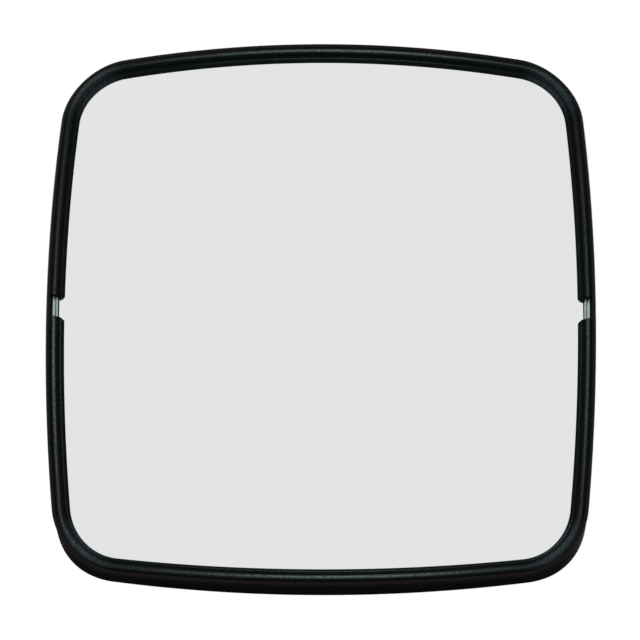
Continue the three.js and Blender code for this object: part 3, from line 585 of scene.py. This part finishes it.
def make_trim(node, flip, bead_end, side_highlight):
    """One length of trim. Where it is bent round a corner, its inner slope creases in fine ridges."""
    ridge_height, ridge_spacing = 0.16 * MM, 1.15
    section, visible = trim_section()
    stations = upper_half(start_height=18 * MM)
    rows = rim_rows(stations, section * MM)
    slope = np.zeros(len(section))
    slope[:visible] = np.interp(section[:visible, 0], [0.4, 1.2, 4.6, 6.5], [0, 1, 1, 0])
    ridges = ridge_height * slope * np.cos(section[:, 0] * 2 * math.pi / ridge_spacing)
    rows[..., 1] -= ridges * cornerness(stations)[:, None]
    right = [trim_end(section, bead_end, shrink) for shrink in (1, 0)]
    left = [trim_end(section, bead_end, shrink, LEFT_GAP_RISE * flip) for shrink in (0, 1)]
    rows = np.concatenate([right, rows, left * np.array([-1, 1, 1])]) * np.array([1, 1, flip])
    mesh = grid_mesh(node, rows, close_columns=True, caps=True, sharp=50)
    # The bend and crest numbers set where the rubber's painted highlights fall.
    set_wear_and_highlight(mesh, "bend", np.pad(cornerness(stations), 2), len(section))
    set_wear_and_highlight(mesh, "crest", np.pad(crest_highlight_strength(stations, *side_highlight), 2, "edge"), len(section))
    return piece(node, mesh, RUBBER, HEAD)


# ---------------- back shell


def boss_row(half, depth):
    """A rounded square with as many points as the outline."""
    angle = np.arctan2(RING[:, 1], RING[:, 0])
    power = 6
    reach = half / (np.abs(np.cos(angle)) ** power + np.abs(np.sin(angle)) ** power) ** (1 / power)
    return in_space(np.stack([reach * np.cos(angle), reach * np.sin(angle)], 1), depth)


def ribbed(row, height):
    """Pushes a row of the sunk panel back in narrow ribs that run out from the boss."""
    angle = np.arctan2(row[:, 2], row[:, 0])
    rib = np.clip((np.cos(angle * PANEL_RIBS) - 0.55) / 0.3, 0, 1)
    return row + np.outer(rib * height, (0, 1, 0))


# The front edge of the shell and a shallow step in its side, as s and h in mm.
SHELL_EDGE = [(14.9, 9.0), (14.95, 9.25), (15.15, 9.4), (16.0, 9.5), (17.0, 9.5), (17.9, 9.3)]
SHELL_EDGE += [(18.7, 8.75), (19.2, 7.9), (19.45, 6.8), (19.5, 5.6), (19.5, -3.6)]
SHELL_STEP = [(19.45, -4), (19.05, -4.3), (19.05, -5.2)]


def shell_outside():
    """Rows from the front edge over the rim's wall, the dish and its sunk panel to the boss."""
    rows = [*rim_rows(RING, np.array(SHELL_EDGE + SHELL_STEP) * MM).transpose(1, 0, 2)]
    rows += [flat_row(RIM_OUTER, RIM_DEPTH - 5 * MM)]
    bend_radius = 4 * MM
    for bend in np.radians([18, 36, 54, 72, 90]):
        inwards, forwards = bend_radius * (1 - math.cos(bend)), bend_radius * (1 - math.sin(bend))
        rows.append(flat_row(RIM_OUTER - inwards, RIM_DEPTH - forwards))
    for t in (0.15, 0.4, 0.65, 0.85):
        rows.append(scaled_row(1 - 0.14 * t, RIM_DEPTH + 10 * MM * math.sin(t * math.pi / 2)))
    sink = DISH_DEPTH - PANEL_SINK
    into = [(0.845, DISH_DEPTH), (0.835, DISH_DEPTH - 0.8 * MM), (0.81, sink + 0.6 * MM), (0.80, sink)]
    rows += [scaled_row(factor, depth) for factor, depth in into]
    ribs = [(0.785, 0.2 * MM), (0.77, 2.2 * MM), (0.70, 2.2 * MM), (0.63, 2.2 * MM), (0.56, 2.2 * MM)]
    rows += [ribbed(scaled_row(factor, sink), height) for factor, height in ribs]
    out = [(0.53, sink), (0.52, sink + 0.3 * MM), (0.49, DISH_DEPTH - 0.6 * MM), (0.475, DISH_DEPTH)]
    rows += [scaled_row(factor, depth) for factor, depth in out]
    boss = [(9 * MM, DISH_DEPTH), (7 * MM, DISH_DEPTH + 0.8 * MM), (1.5 * MM, SHELL_DEPTH - 1.2 * MM)]
    boss += [(0, SHELL_DEPTH - 0.3 * MM), (-1.5 * MM, SHELL_DEPTH)]
    rows += [boss_row(BOSS_HALF + outwards, depth) for outwards, depth in boss]
    return [*rows, boss_row(BOSS_CENTRE_HALF, SHELL_DEPTH)]


def shell_inside():
    """Rows from the middle of the boss to the ledge that carries the mirror."""
    inner = SHELL_DEPTH - 5 * MM
    dish = DISH_DEPTH - WALL
    sink = dish - PANEL_SINK
    boss = [(BOSS_CENTRE_HALF, inner), (BOSS_HALF - 2 * MM, inner), (BOSS_HALF + 5 * MM, dish)]
    rows = [boss_row(half, depth) for half, depth in boss]
    panel = [(0.47, dish), (0.51, sink), (0.81, sink), (0.845, dish), (0.945, RIM_DEPTH + 3 * MM - WALL)]
    rows += [scaled_row(factor, depth) for factor, depth in panel]
    rows += [flat_row(RIM_OUTER - WALL - 3 * MM, RIM_DEPTH - WALL)]
    rows += [flat_row(RIM_OUTER - WALL, RIM_DEPTH - WALL - 3 * MM)]
    ledge = np.array([(16.4, -8.2), (-12, -8.2), (-12, -5.1), (14.9, -5.1)]) * MM
    return [*rows, *rim_rows(RING, ledge).transpose(1, 0, 2)]


def drill_drains(shell):
    """Two drain holes through the bottom wall."""
    bm = bmesh.new()
    radius, depth, length = 3 * MM, 70 * MM, 50 * MM
    for x in (-60 * MM, 60 * MM):
        below = placed((x, APEX_Y + depth, -HALF_HEIGHT - 40 * MM), (1, 0, 0), (0, 1, 0))
        add_rings(bm, [ring_at(radius, 0), ring_at(radius, length)], below, caps=True)
    drill = add_object("drill", mesh_from(bm, "drill"))
    shell.modifiers.new("drains", "BOOLEAN").object = drill
    drilled = shell.evaluated_get(bpy.context.evaluated_depsgraph_get())
    shell.data = bpy.data.meshes.new_from_object(drilled)
    shell.data.set_sharp_from_angle(angle=math.radians(30))
    shell.modifiers.clear()
    bpy.data.objects.remove(drill)


def make_back_shell():
    """The shell, bleached along its front edge and lighter from the bend behind its wall onwards."""
    inside = shell_inside()
    rows = np.array([*inside, *shell_outside()])
    mesh = grid_mesh("back_shell", rows, sharp=30, close_columns=True, caps=True)
    row = np.arange(len(rows)) - len(inside)
    bend = len(SHELL_EDGE + SHELL_STEP) + 3
    set_wear_and_highlight(mesh, "edge", (row >= 0) & (row < len(SHELL_EDGE)), len(RING))
    set_wear_and_highlight(mesh, "back", row >= bend, len(RING))
    shell = piece("back_shell", mesh, PLASTIC, HEAD)
    drill_drains(shell)
    return shell


# ---------------- plates, turned parts and welds


def placed(at, x, y):
    """Matrix that puts a shape's own x and y axes along the given directions."""
    x, y = Vector(x), Vector(y)
    matrix = Matrix((x, y, x.cross(y))).transposed().to_4x4()
    matrix.translation = Vector(at)
    return matrix


def across_x(x, y):
    """Matrix of an upright plate that faces sideways. Its own x axis runs backwards."""
    return placed((x, y, 0), (0, 1, 0), (0, 0, 1))


def across_y(y):
    """Matrix of a plate that faces forwards, with its rear at y."""
    return placed((0, y, 0), (1, 0, 0), (0, 0, 1))


def oriented(loop, is_hole):
    """The loop, in the order that has the material on its left."""
    x, y = loop.T
    clockwise = (x * np.roll(y, -1) - y * np.roll(x, -1)).sum() < 0
    return loop if clockwise == is_hole else loop[::-1]


def moved_left(loop, distance):
    """The loop, with every side moved to its left."""
    ahead = np.roll(loop, -1, 0) - loop
    ahead /= np.linalg.norm(ahead, axis=1)[:, None]
    left = np.stack([-ahead[:, 1], ahead[:, 0]], 1)
    both = left + np.roll(left, 1, 0)
    return loop + both * (2 * distance / (both**2).sum(1))[:, None]


def add_plate(bm, outline, holes, thickness, matrix, bevel=0.6 * MM):
    """A plate with holes and rounded edges. It lies in its own x and y, and z is its thickness."""
    loops = [oriented(outline, is_hole=False), *(oriented(loop, is_hole=True) for loop in holes)]
    quarter_turn = np.radians([0, 30, 60, 90])
    lower = [(bevel * (1 - math.sin(a)), bevel * (1 - math.cos(a))) for a in quarter_turn]
    profile = lower + [(inset, thickness - z) for inset, z in lower[::-1]]
    lids = [[], []]
    for loop in loops:
        rings = []
        for inset, z in profile:
            flat = moved_left(loop, inset)
            rings.append([bm.verts.new(matrix @ Vector((*point, z))) for point in flat])
        count = len(loop)
        for low, high in zip(rings, rings[1:]):
            for i in range(count):
                j = (i + 1) % count
                bm.faces.new((low[i], low[j], high[j], high[i]))
        lids[0].append(rings[0])
        lids[1].append(rings[-1])
    flat_loops = [[Vector((*point, 0)) for point in moved_left(loop, bevel)] for loop in loops]
    triangles = tessellate_polygon(flat_loops)
    for lid in lids:
        corners = [vert for ring in lid for vert in ring]
        for triangle in triangles:
            if len(set(triangle)) == 3:
                bm.faces.new([corners[i] for i in triangle])


def rounded(width, height, radius):
    """A rectangle with rounded corners."""
    x, y = width / 2 - radius, height / 2 - radius
    corners = [((x, y), 0), ((-x, y), 90), ((-x, -y), 180), ((x, -y), 270)]
    return np.concatenate([turn(centre, radius, a, a + 90, 7) for centre, a in corners])


def hole(radius, x=0.0, y=0.0):
    return turn((x, y), radius, 0, 360, 28)[:-1]


TURNS = np.linspace(0, 2 * math.pi, 48, endpoint=False)


def ring_at(radius, z):
    """Points round the z axis. Both the radius and z may differ from point to point."""
    radius = np.broadcast_to(radius, TURNS.shape)
    z = np.broadcast_to(z, TURNS.shape)
    return np.stack([radius * np.cos(TURNS), radius * np.sin(TURNS), z], 1)


def hexagon_reach(flats):
    """From the axis to the side of a hexagon, in every direction. One corner is on its x axis."""
    return flats / 2 / np.cos(np.mod(TURNS, math.pi / 3) - math.pi / 6)


def helix(z, pitch):
    """The profile of a thread round the axis at z: from 0 on its crest to 1 in its groove."""
    phase = np.mod(z / pitch - TURNS / (2 * math.pi), 1)
    return 1 - np.abs(2 * phase - 1)


def thread(radius, pitch, start, end):
    """Rings of a helical thread that fades in at its start and has a chamfered end."""
    depth = THREAD_DEPTH * pitch
    rings = []
    for z in np.arange(start, end, pitch / 4):
        groove = depth * helix(z, pitch) * min(1, (z - start) / pitch)
        limit = radius - max(0, z - end + depth)
        rings.append(ring_at(np.minimum(radius - groove, limit), z))
    return [*rings, ring_at(radius - depth, end)]


def add_rings(bm, rings, matrix, **kinds):
    """A surface over rings, which the matrix puts in place."""
    rows = np.array(rings)
    turned = rows @ np.array(matrix.to_3x3()).T + np.array(matrix.translation)
    add_grid(bm, turned, close_columns=True, **kinds)


def add_sleeve(bm, bore, outer, start, end, edge, matrix):
    """A tube with chamfered edges."""
    profile = [(bore + edge, start), (outer - edge, start), (outer, start + edge), (outer, end - edge)]
    profile += [(outer - edge, end), (bore + edge, end), (bore, end - edge), (bore, start + edge)]
    add_rings(bm, [ring_at(radius, z) for radius, z in profile], matrix, close_rows=True)


def hexagon_rings(flats, top, bottom, one_sided=False):
    """A chamfered hexagon from z = top to z = bottom. A one-sided one has a washer face at its bottom."""
    reach = hexagon_reach(flats)
    face = 0.475 * flats
    chamfer = (reach - face) * math.tan(math.radians(30))
    step = 0.35 * MM
    if one_sided:
        foot = [ring_at(reach, bottom - step), ring_at(face, bottom - step), ring_at(face, bottom)]
    else:
        foot = [ring_at(reach, bottom - chamfer), ring_at(face, bottom)]
    return [ring_at(face, top), ring_at(reach, top + chamfer), *foot]


def axis_of(node, direction):
    """Of a round CAD node: a matrix whose z axis starts at one end of its box, its length and radius."""
    low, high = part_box(node)
    axis = Vector(direction)
    corner = Vector((0, 0, 1)) if abs(axis.y) > 0.5 else Vector((0, 1, 0))
    length, width = (abs((high - low).dot(v)) for v in (axis, corner))
    return placed((low + high - axis * length) / 2, corner, axis.cross(corner)), length, width / 2


def make_bolt(node, size, direction, body, flange=None, plain=0.0):
    """A hexagon bolt. Its plain shank is followed by a thread that runs to the end. A flange is given as
    its radius and thickness."""
    radius, pitch, flats, head = size
    matrix, length, _ = axis_of(node, direction)
    rings = hexagon_rings(flats, 0, head, one_sided=True)
    seat = head
    if flange:
        rim, thick = flange
        seat = head + thick
        rings = rings[:2] + [ring_at(hexagon_reach(flats), head), ring_at(rim - 0.4 * MM, head + 0.5 * MM)]
        rings += [ring_at(rim, head + 0.9 * MM), ring_at(rim, seat)]
    rings += [ring_at(radius + 0.3 * MM, seat), ring_at(radius, seat + 0.4 * MM)]
    rings += [ring_at(radius, seat + 0.8 * MM + plain), *thread(radius, pitch, seat + MM + plain, length)]
    bm = bmesh.new()
    add_rings(bm, rings, matrix, caps=True)
    piece(node, mesh_from(bm, node, 40), ZINC, body)


def make_nut(node, size, direction, body, flange=None):
    """A hexagon nut, or a flanged one whose flange is at its start."""
    radius, pitch, flats, _ = size
    matrix, length, _ = axis_of(node, direction)
    rings = hexagon_rings(flats, 0, length)
    if flange:
        rim, thick = flange
        foot = [ring_at(rim, 0), ring_at(rim, thick - 0.7 * MM), ring_at(rim - 0.4 * MM, thick - 0.3 * MM)]
        rings = [*foot, ring_at(hexagon_reach(flats), thick), *rings[2:]]
    bore = radius + 0.3 * MM
    countersink = 0.5 * MM
    rings += [ring_at(bore + countersink, length)]
    for z in np.arange(length - countersink, countersink, -pitch / 4):
        rings.append(ring_at(bore + 0.15 * pitch * helix(z, pitch), z))
    rings += [ring_at(bore + countersink, 0)]
    bm = bmesh.new()
    add_rings(bm, rings, matrix, close_rows=True)
    piece(node, mesh_from(bm, node, 40), ZINC, body)


def make_ring(node, bore, direction, body, material):
    """A washer, disc or sleeve with small chamfers. Its width and length are those of its box."""
    edge = 0.25 * MM
    matrix, length, outer = axis_of(node, direction)
    bm = bmesh.new()
    add_sleeve(bm, bore, outer, 0, length, edge, matrix)
    piece(node, mesh_from(bm, node, 30), material, body)


def add_weld(bm, start, end, a, b, size=4 * MM):
    """A fillet weld in the corner between the directions a and b, with fine ripples."""
    start, end, a, b = (np.array(v, float) for v in (start, end, a, b))
    ripple_length = 0.8 * MM
    steps = int(np.linalg.norm(end - start) / ripple_length)
    angles = np.radians([0, 22, 45, 68, 90])
    rows = []
    for i in range(steps + 1):
        ripple = 1 + 0.05 * (-1) ** i + 0.05 * math.sin(i * 0.43) + 0.03 * math.sin(i * 1.31)
        taper = min(1, (i + 1) / 4, (steps - i + 1) / 4) ** 0.5
        reach = size * ripple * taper
        centre = start + (end - start) * i / steps
        row = [centre - (a + b) * 0.5 * MM]
        for t in angles:
            row.append(centre + reach * (1 - 0.2 * math.sin(2 * t)) * (math.cos(t) * a + math.sin(t) * b))
        rows.append(row)
    add_grid(bm, np.array(rows), close_columns=True, caps=True)


# ---------------- brackets

BOLT_PLACES = [(x * 52 * MM, z * 52 * MM) for x in (-1, 1) for z in (-1, 1)]
EAR_RADIUS = 46 * MM
CHEEK_RADIUS = 18 * MM
PLATE = 4 * MM
SOFT_EDGE = 0.8 * MM
LOCK_RADIUS = 32 * MM  # from the tilt axis down to the lock bolt
LOCK_HOLE = M8[0] + CLEARANCE
TILT_HOLE = M10[0] + CLEARANCE
DOWN = -90  # degrees


def add_bolted_plate(bm, node, corner):
    """The square plate at the front of the node, with its four bolt holes. Returns the y of its rear."""
    low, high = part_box(node)
    width = high.x - low.x
    rear = low.y + PLATE
    holes = [hole(LOCK_HOLE, x, z) for x, z in BOLT_PLACES]
    add_plate(bm, rounded(width, width, corner), holes, PLATE, across_y(rear))
    return rear


def arc_slot(radius, half, sweep):
    """A slot along an arc below the centre, as far to either side as it sweeps. Half is half its width."""
    ends = [turn((0, 0), radius, DOWN + a, DOWN + a, 1)[0] for a in (sweep, -sweep)]
    parts = [
        turn((0, 0), radius + half, DOWN - sweep, DOWN + sweep, 16),
        turn(ends[0], half, DOWN + sweep, DOWN + sweep + 180, 8)[1:-1],
        turn((0, 0), radius - half, DOWN + sweep, DOWN - sweep, 16),
        turn(ends[1], half, DOWN - sweep + 180, DOWN - sweep + 360, 8)[1:-1],
    ]
    return np.concatenate(parts)


def make_head_bracket():
    """A square plate with two ears. Each ear has the tilt hole and, below it, the arc slot."""
    bm = bmesh.new()
    rear = add_bolted_plate(bm, "head_bracket", 14 * MM)
    edge = rear - 1 * MM - TILT_AXIS_Y
    fan = 37
    outline = [
        [(edge, 24 * MM), (-8 * MM, CHEEK_RADIUS)],
        turn((0, 0), CHEEK_RADIUS + MM, 90, 0),
        turn((0, 0), EAR_RADIUS, DOWN + fan, DOWN - fan / 2, 16),
        [(edge, -EAR_RADIUS - 4 * MM)],
    ]
    holes = [hole(TILT_HOLE), arc_slot(LOCK_RADIUS, LOCK_HOLE, 21.5)]
    inner = 28 * MM
    for x in (inner, -inner - PLATE):
        add_plate(bm, np.concatenate(outline), holes, PLATE, across_x(x, TILT_AXIS_Y))
        for side, face in ((-1, x), (1, x + PLATE)):
            add_weld(bm, (face, rear, 22 * MM), (face, rear, -48 * MM), (side, 0, 0), (0, 1, 0), 3.5 * MM)
    piece("head_bracket", mesh_from(bm, "head_bracket"), GALVANISED, HEAD)


def make_inner_plate():
    bm = bmesh.new()
    add_bolted_plate(bm, "inner_plate", 10 * MM)
    piece("inner_plate", mesh_from(bm, "inner_plate"), GALVANISED, HEAD)


def make_swivel_yoke():
    """Two cheeks on a web, with a knuckle for the pan bolt behind it. Parts that run into each other differ
    by a small step, so that no two faces coincide."""
    bm = bmesh.new()
    web, cheek = 8 * MM, 6 * MM
    web_rear = PAN_AXIS_Y - 20 * MM
    half = 26 * MM
    boss = 13 * MM
    step = 0.5 * MM
    edge = web_rear - step - TILT_AXIS_Y
    across = 2 * half - 2 * step
    add_plate(bm, rounded(across, 2 * half, 2 * MM), [], web, across_y(web_rear), SOFT_EDGE)
    outline = [
        [(edge, half), (4 * MM, CHEEK_RADIUS)],
        turn((0, 0), CHEEK_RADIUS, 90, 180, 14),
        turn((0, -LOCK_RADIUS), boss, 180, 270, 12),
        [(8 * MM, -LOCK_RADIUS - boss), (edge, -half)],
    ]
    holes = [hole(TILT_HOLE), hole(LOCK_HOLE, 0, -LOCK_RADIUS)]
    for x in (half - cheek, -half):
        add_plate(bm, np.concatenate(outline), holes, cheek, across_x(x, TILT_AXIS_Y), SOFT_EDGE)
    block_half = 10 * MM
    block = rounded(2 * block_half, across, 1.5 * MM)
    add_plate(bm, block, [], 16 * MM, across_y(PAN_AXIS_Y - 8 * MM), SOFT_EDGE)
    knuckle = placed((0, PAN_AXIS_Y, 0), (1, 0, 0), (0, 1, 0))
    add_sleeve(bm, M12[0] + CLEARANCE, 17 * MM, -27 * MM, 27 * MM, SOFT_EDGE, knuckle)
    for side in (-1, 1):
        ends = [(side * block_half, web_rear, z) for z in (24 * MM, -24 * MM)]
        add_weld(bm, *ends, (side, 0, 0), (0, 1, 0), 3 * MM)
        ends = [(side * (half - cheek), web_rear - web, z) for z in (23 * MM, -23 * MM)]
        add_weld(bm, *ends, (-side, 0, 0), (0, -1, 0), 3.5 * MM)
    piece("swivel_yoke", mesh_from(bm, "swivel_yoke"), GALVANISED, YOKE)


def make_post_bracket():
    """A slotted web for the U-bolts, with two flanges that hold the knuckle."""
    bm = bmesh.new()
    low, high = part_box("post_bracket")
    thickness = 6 * MM
    near, far = 34.6 * MM, 42.5 * MM  # where the legs of a U-bolt pass, for a 60 and for a 76 mm post
    slot = rounded(far - near + 2 * LOCK_HOLE, 2 * LOCK_HOLE, LOCK_HOLE - 0.02 * MM)
    slots = [slot + np.array([x * (near + far) / 2, z * 68 * MM]) for x in (-1, 1) for z in (-1, 1)]
    web = rounded(high.x - low.x, high.z - low.z, 10 * MM)
    add_plate(bm, web, slots, thickness, across_y(high.y), SOFT_EDGE)
    root, nose, inner = 40 * MM, 20 * MM, 29 * MM
    outline = [[(-root, -MM)], turn((0, PAN_AXIS_Y), nose, 180, 360, 24), [(root, -MM)]]
    pan_hole = hole(M12[0] + CLEARANCE, 0, PAN_AXIS_Y)
    for z in (inner, -inner - thickness):
        flat = placed((0, 0, z), (1, 0, 0), (0, 1, 0))
        add_plate(bm, np.concatenate(outline), [pan_hole], thickness, flat, SOFT_EDGE)
        for side, face in ((-1, z), (1, z + thickness)):
            ends = [(x, -thickness, face) for x in (-35 * MM, 35 * MM)]
            add_weld(bm, *ends, (0, 0, side), (0, -1, 0))
    piece("post_bracket", mesh_from(bm, "post_bracket"), GALVANISED, POST)


def make_u_bolt(node):
    """A round bar bent in a half circle, with a thread on both legs."""
    low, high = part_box(node)
    radius = (high.z - low.z) / 2
    bend = high.x - radius
    middle = high.y - radius - bend
    pitch = M8[1]
    threaded = 34 * MM
    leg = [(bend, y) for y in np.arange(low.y, low.y + threaded, pitch / 4)]
    leg += [(bend, y) for y in np.linspace(low.y + threaded + MM, middle, 6)[:-1]]
    arc = [(bend * math.cos(t), middle + bend * math.sin(t)) for t in np.linspace(0, math.pi, 41)]
    path = np.array([*leg, *arc, *[(-x, y) for x, y in leg[::-1]]])
    rows = []
    for x, y in path:
        out = np.array([x, max(y - middle, 0), 0])
        out /= np.linalg.norm(out)
        from_tip = y - low.y
        fade = np.clip((threaded - from_tip) / pitch, 0, 1)
        reach = radius - THREAD_DEPTH * pitch * helix(from_tip, pitch) * fade
        reach = np.minimum(reach, radius - 0.7 * MM + from_tip)
        around = np.outer(np.cos(TURNS), out) + np.outer(np.sin(TURNS), (0, 0, 1))
        rows.append(np.array([x, y, (low.z + high.z) / 2]) + reach[:, None] * around)
    mesh = grid_mesh(node, rows, sharp=40, close_columns=True, caps=True)
    piece(node, mesh, ZINC, POST)


def make_metalwork():
    make_head_bracket()
    make_inner_plate()
    make_swivel_yoke()
    make_post_bracket()
    forward, right, down = (0, -1, 0), (1, 0, 0), (0, 0, -1)
    flange = (8.5 * MM, 1.6 * MM)
    bore = {size: size[0] + 0.3 * MM for size in (M8, M10, M12)}
    for i in range(1, 5):
        make_bolt(f"head_bolt_{i}", M8, forward, HEAD, plain=4 * MM)
        make_nut(f"head_nut_{i}", M8, forward, HEAD)
        make_ring(f"head_washer_{i}", bore[M8], forward, HEAD, ZINC)
    make_bolt("tilt_bolt", M10, right, YOKE, plain=50 * MM)
    make_nut("tilt_nut", M10, right, YOKE)
    make_bolt("lock_bolt", M8, right, YOKE, flange=flange, plain=48 * MM)
    make_nut("lock_nut", M8, right, YOKE, flange=flange)
    make_ring("tilt_spacer", bore[M10], right, YOKE, ZINC)
    for side in ("left", "right"):
        make_ring(f"friction_disc_{side}", bore[M10], right, YOKE, NYLON)
        make_ring(f"tilt_washer_{side}", bore[M10], right, YOKE, ZINC)
    make_bolt("pan_bolt", M12, down, POST, plain=62 * MM)
    make_nut("pan_nut", M12, down, POST)
    for level in ("upper", "lower"):
        make_ring(f"thrust_washer_{level}", M12[0] + CLEARANCE, down, POST, NYLON)
        make_ring(f"pan_washer_{level}", bore[M12], down, POST, ZINC)
        make_u_bolt(f"u_bolt_{level}")
        for side in ("left", "right"):
            make_ring(f"u_washer_{level}_{side}", bore[M8], forward, POST, ZINC)
            make_nut(f"u_nut_{level}_{side}", M8, forward, POST)


def finish_hidden_nodes():
    """The screws and the small plate under the trims keep their own shape, with softened edges."""
    for name, node in frame["nodes"].items():
        if node.hide_render:
            continue
        small_plate = name == "band_joint_plate"
        node.data.materials.clear()
        node.data.materials.append(STAINLESS if small_plate else ZINC)
        bevel = node.modifiers.new("soft_edges", "BEVEL")
        bevel.width = 0.15 * MM
        bevel.segments = 2


make_mirror_face()
make_face_seal()
make_retaining_band()
upper_trim = make_trim("upper_trim", 1, UPPER_BEAD_END, side_highlight=(0.32, 0.26))
lower_trim = make_trim("lower_trim", -1, LOWER_BEAD_END, side_highlight=(1.1, 0.56))
back_shell = make_back_shell()
make_metalwork()
finish_hidden_nodes()

# ---------------- camera, floor and light


CENTRE = Vector((0, APEX_Y, 0))


def aim(position, target, roll=0.0):
    """Matrix of a camera or light that looks from position at target."""
    back = (Vector(position) - Vector(target)).normalized()
    right = Vector((0, 0, 1)).cross(back).normalized()
    up = back.cross(right)
    turned_right = math.cos(roll) * right + math.sin(roll) * up
    turned_up = math.cos(roll) * up - math.sin(roll) * right
    matrix = Matrix((turned_right, turned_up, back)).transposed().to_4x4()
    matrix.translation = Vector(position)
    return matrix


def towards(azimuth, elevation):
    """Unit vector towards a viewer: azimuth 0 is in front, 90 to the right."""
    a, e = math.radians(azimuth), math.radians(elevation)
    return Vector((math.sin(a) * math.cos(e), -math.cos(a) * math.cos(e), math.sin(e)))


def make_camera():
    """The photo's view: from a little below the mirror and hardly to its right, with a slight roll."""
    data = bpy.data.cameras.new("camera")
    data.lens = 189.3
    data.sensor_width = 36
    camera = add_object("camera", data)
    distance = 3.651
    target = CENTRE - Vector((0.0002, 0, 0.0169))
    camera.matrix_world = aim(CENTRE + towards(1.198, -14.32) * distance, target, roll=0.0058)
    bpy.context.scene.camera = camera


def make_floor():
    """A pale ground far enough below not to show in the main view."""
    bm = bmesh.new()
    bmesh.ops.create_grid(bm, x_segments=8, y_segments=8, size=40)
    floor = add_object("floor", mesh_from(bm, "floor"))
    floor.location = (0, 0, -5)
    floor.data.materials.append(floor_material())
    floor.visible_glossy = False


def soft_light(name, view, distance, size, radiance, receivers=None, gloss_only=False, colour=(1, 1, 1)):
    """A rectangular area light that looks at the mirror, seen at an azimuth and elevation. The radiance is
    that of its surface. It lights everything, or only its receivers."""
    position = CENTRE + towards(*view) * distance
    data = bpy.data.lights.new(name, "AREA")
    data.shape = "RECTANGLE"
    data.size, data.size_y = size
    data.energy = radiance * math.pi * size[0] * size[1]
    data.color = colour
    lamp = add_object(name, data)
    lamp.matrix_world = aim(position, CENTRE)
    lamp.visible_camera = False
    lamp.visible_diffuse = not gloss_only
    if receivers:
        lit = bpy.data.collections.new(name + "_receivers")
        for thing in receivers:
            lit.objects.link(thing)
        lamp.light_linking.receiver_collection = lit


def make_world():
    """White behind everything; for light and reflections, bright in front and dim behind."""
    world = bpy.data.worlds.new("studio")
    bpy.context.scene.world = world
    world.use_nodes = True
    tree = world.node_tree
    background = tree.nodes["Background"]
    path = tree.nodes.new("ShaderNodeLightPath")
    where = tree.nodes.new("ShaderNodeTexCoord")
    split = tree.nodes.new("ShaderNodeSeparateXYZ")
    fade = tree.nodes.new("ShaderNodeMapRange")
    fade.interpolation_type = "SMOOTHSTEP"
    for key, value in {"From Min": -0.3, "From Max": 0.2, "To Min": 0.82, "To Max": 0.03}.items():
        fade.inputs[key].default_value = value
    mix = tree.nodes.new("ShaderNodeMix")
    mix.data_type = "FLOAT"
    mix.inputs["B"].default_value = 1.0
    tree.links.new(where.outputs["Generated"], split.inputs["Vector"])
    tree.links.new(split.outputs["Y"], fade.inputs["Value"])
    tree.links.new(path.outputs["Is Camera Ray"], mix.inputs["Factor"])
    tree.links.new(fade.outputs["Result"], mix.inputs["A"])
    tree.links.new(mix.outputs["Result"], background.inputs["Strength"])
    background.inputs["Color"].default_value = (1, 1, 1, 1)


def make_lights():
    trims = [upper_trim, lower_trim]
    sky = (0.66, 0.9, 1.0)
    soft_light("front_soft", (0, -12), 5, (3.8, 3.8), 12.5, trims, gloss_only=True, colour=sky)
    soft_light("shell_soft", (165, 35), 4, (3.0, 3.0), 6.5, [back_shell])
    for side in (-1, 1):
        soft_light(f"shell_side_{side}", (side * 105, 20), 4, (2.5, 2.5), 7.0, [back_shell])
    soft_light("top_left_soft", (-70, 55), 3.5, (1.6, 1.6), 5.0)
    soft_light("back_left_soft", (-145, 30), 3.5, (2.0, 2.0), 5.5)
    soft_light("back_right_soft", (140, 20), 3.5, (1.6, 2.0), 4.0)


make_camera()
make_floor()
make_world()
make_lights()

bpy.context.scene.view_settings.view_transform = "Standard"
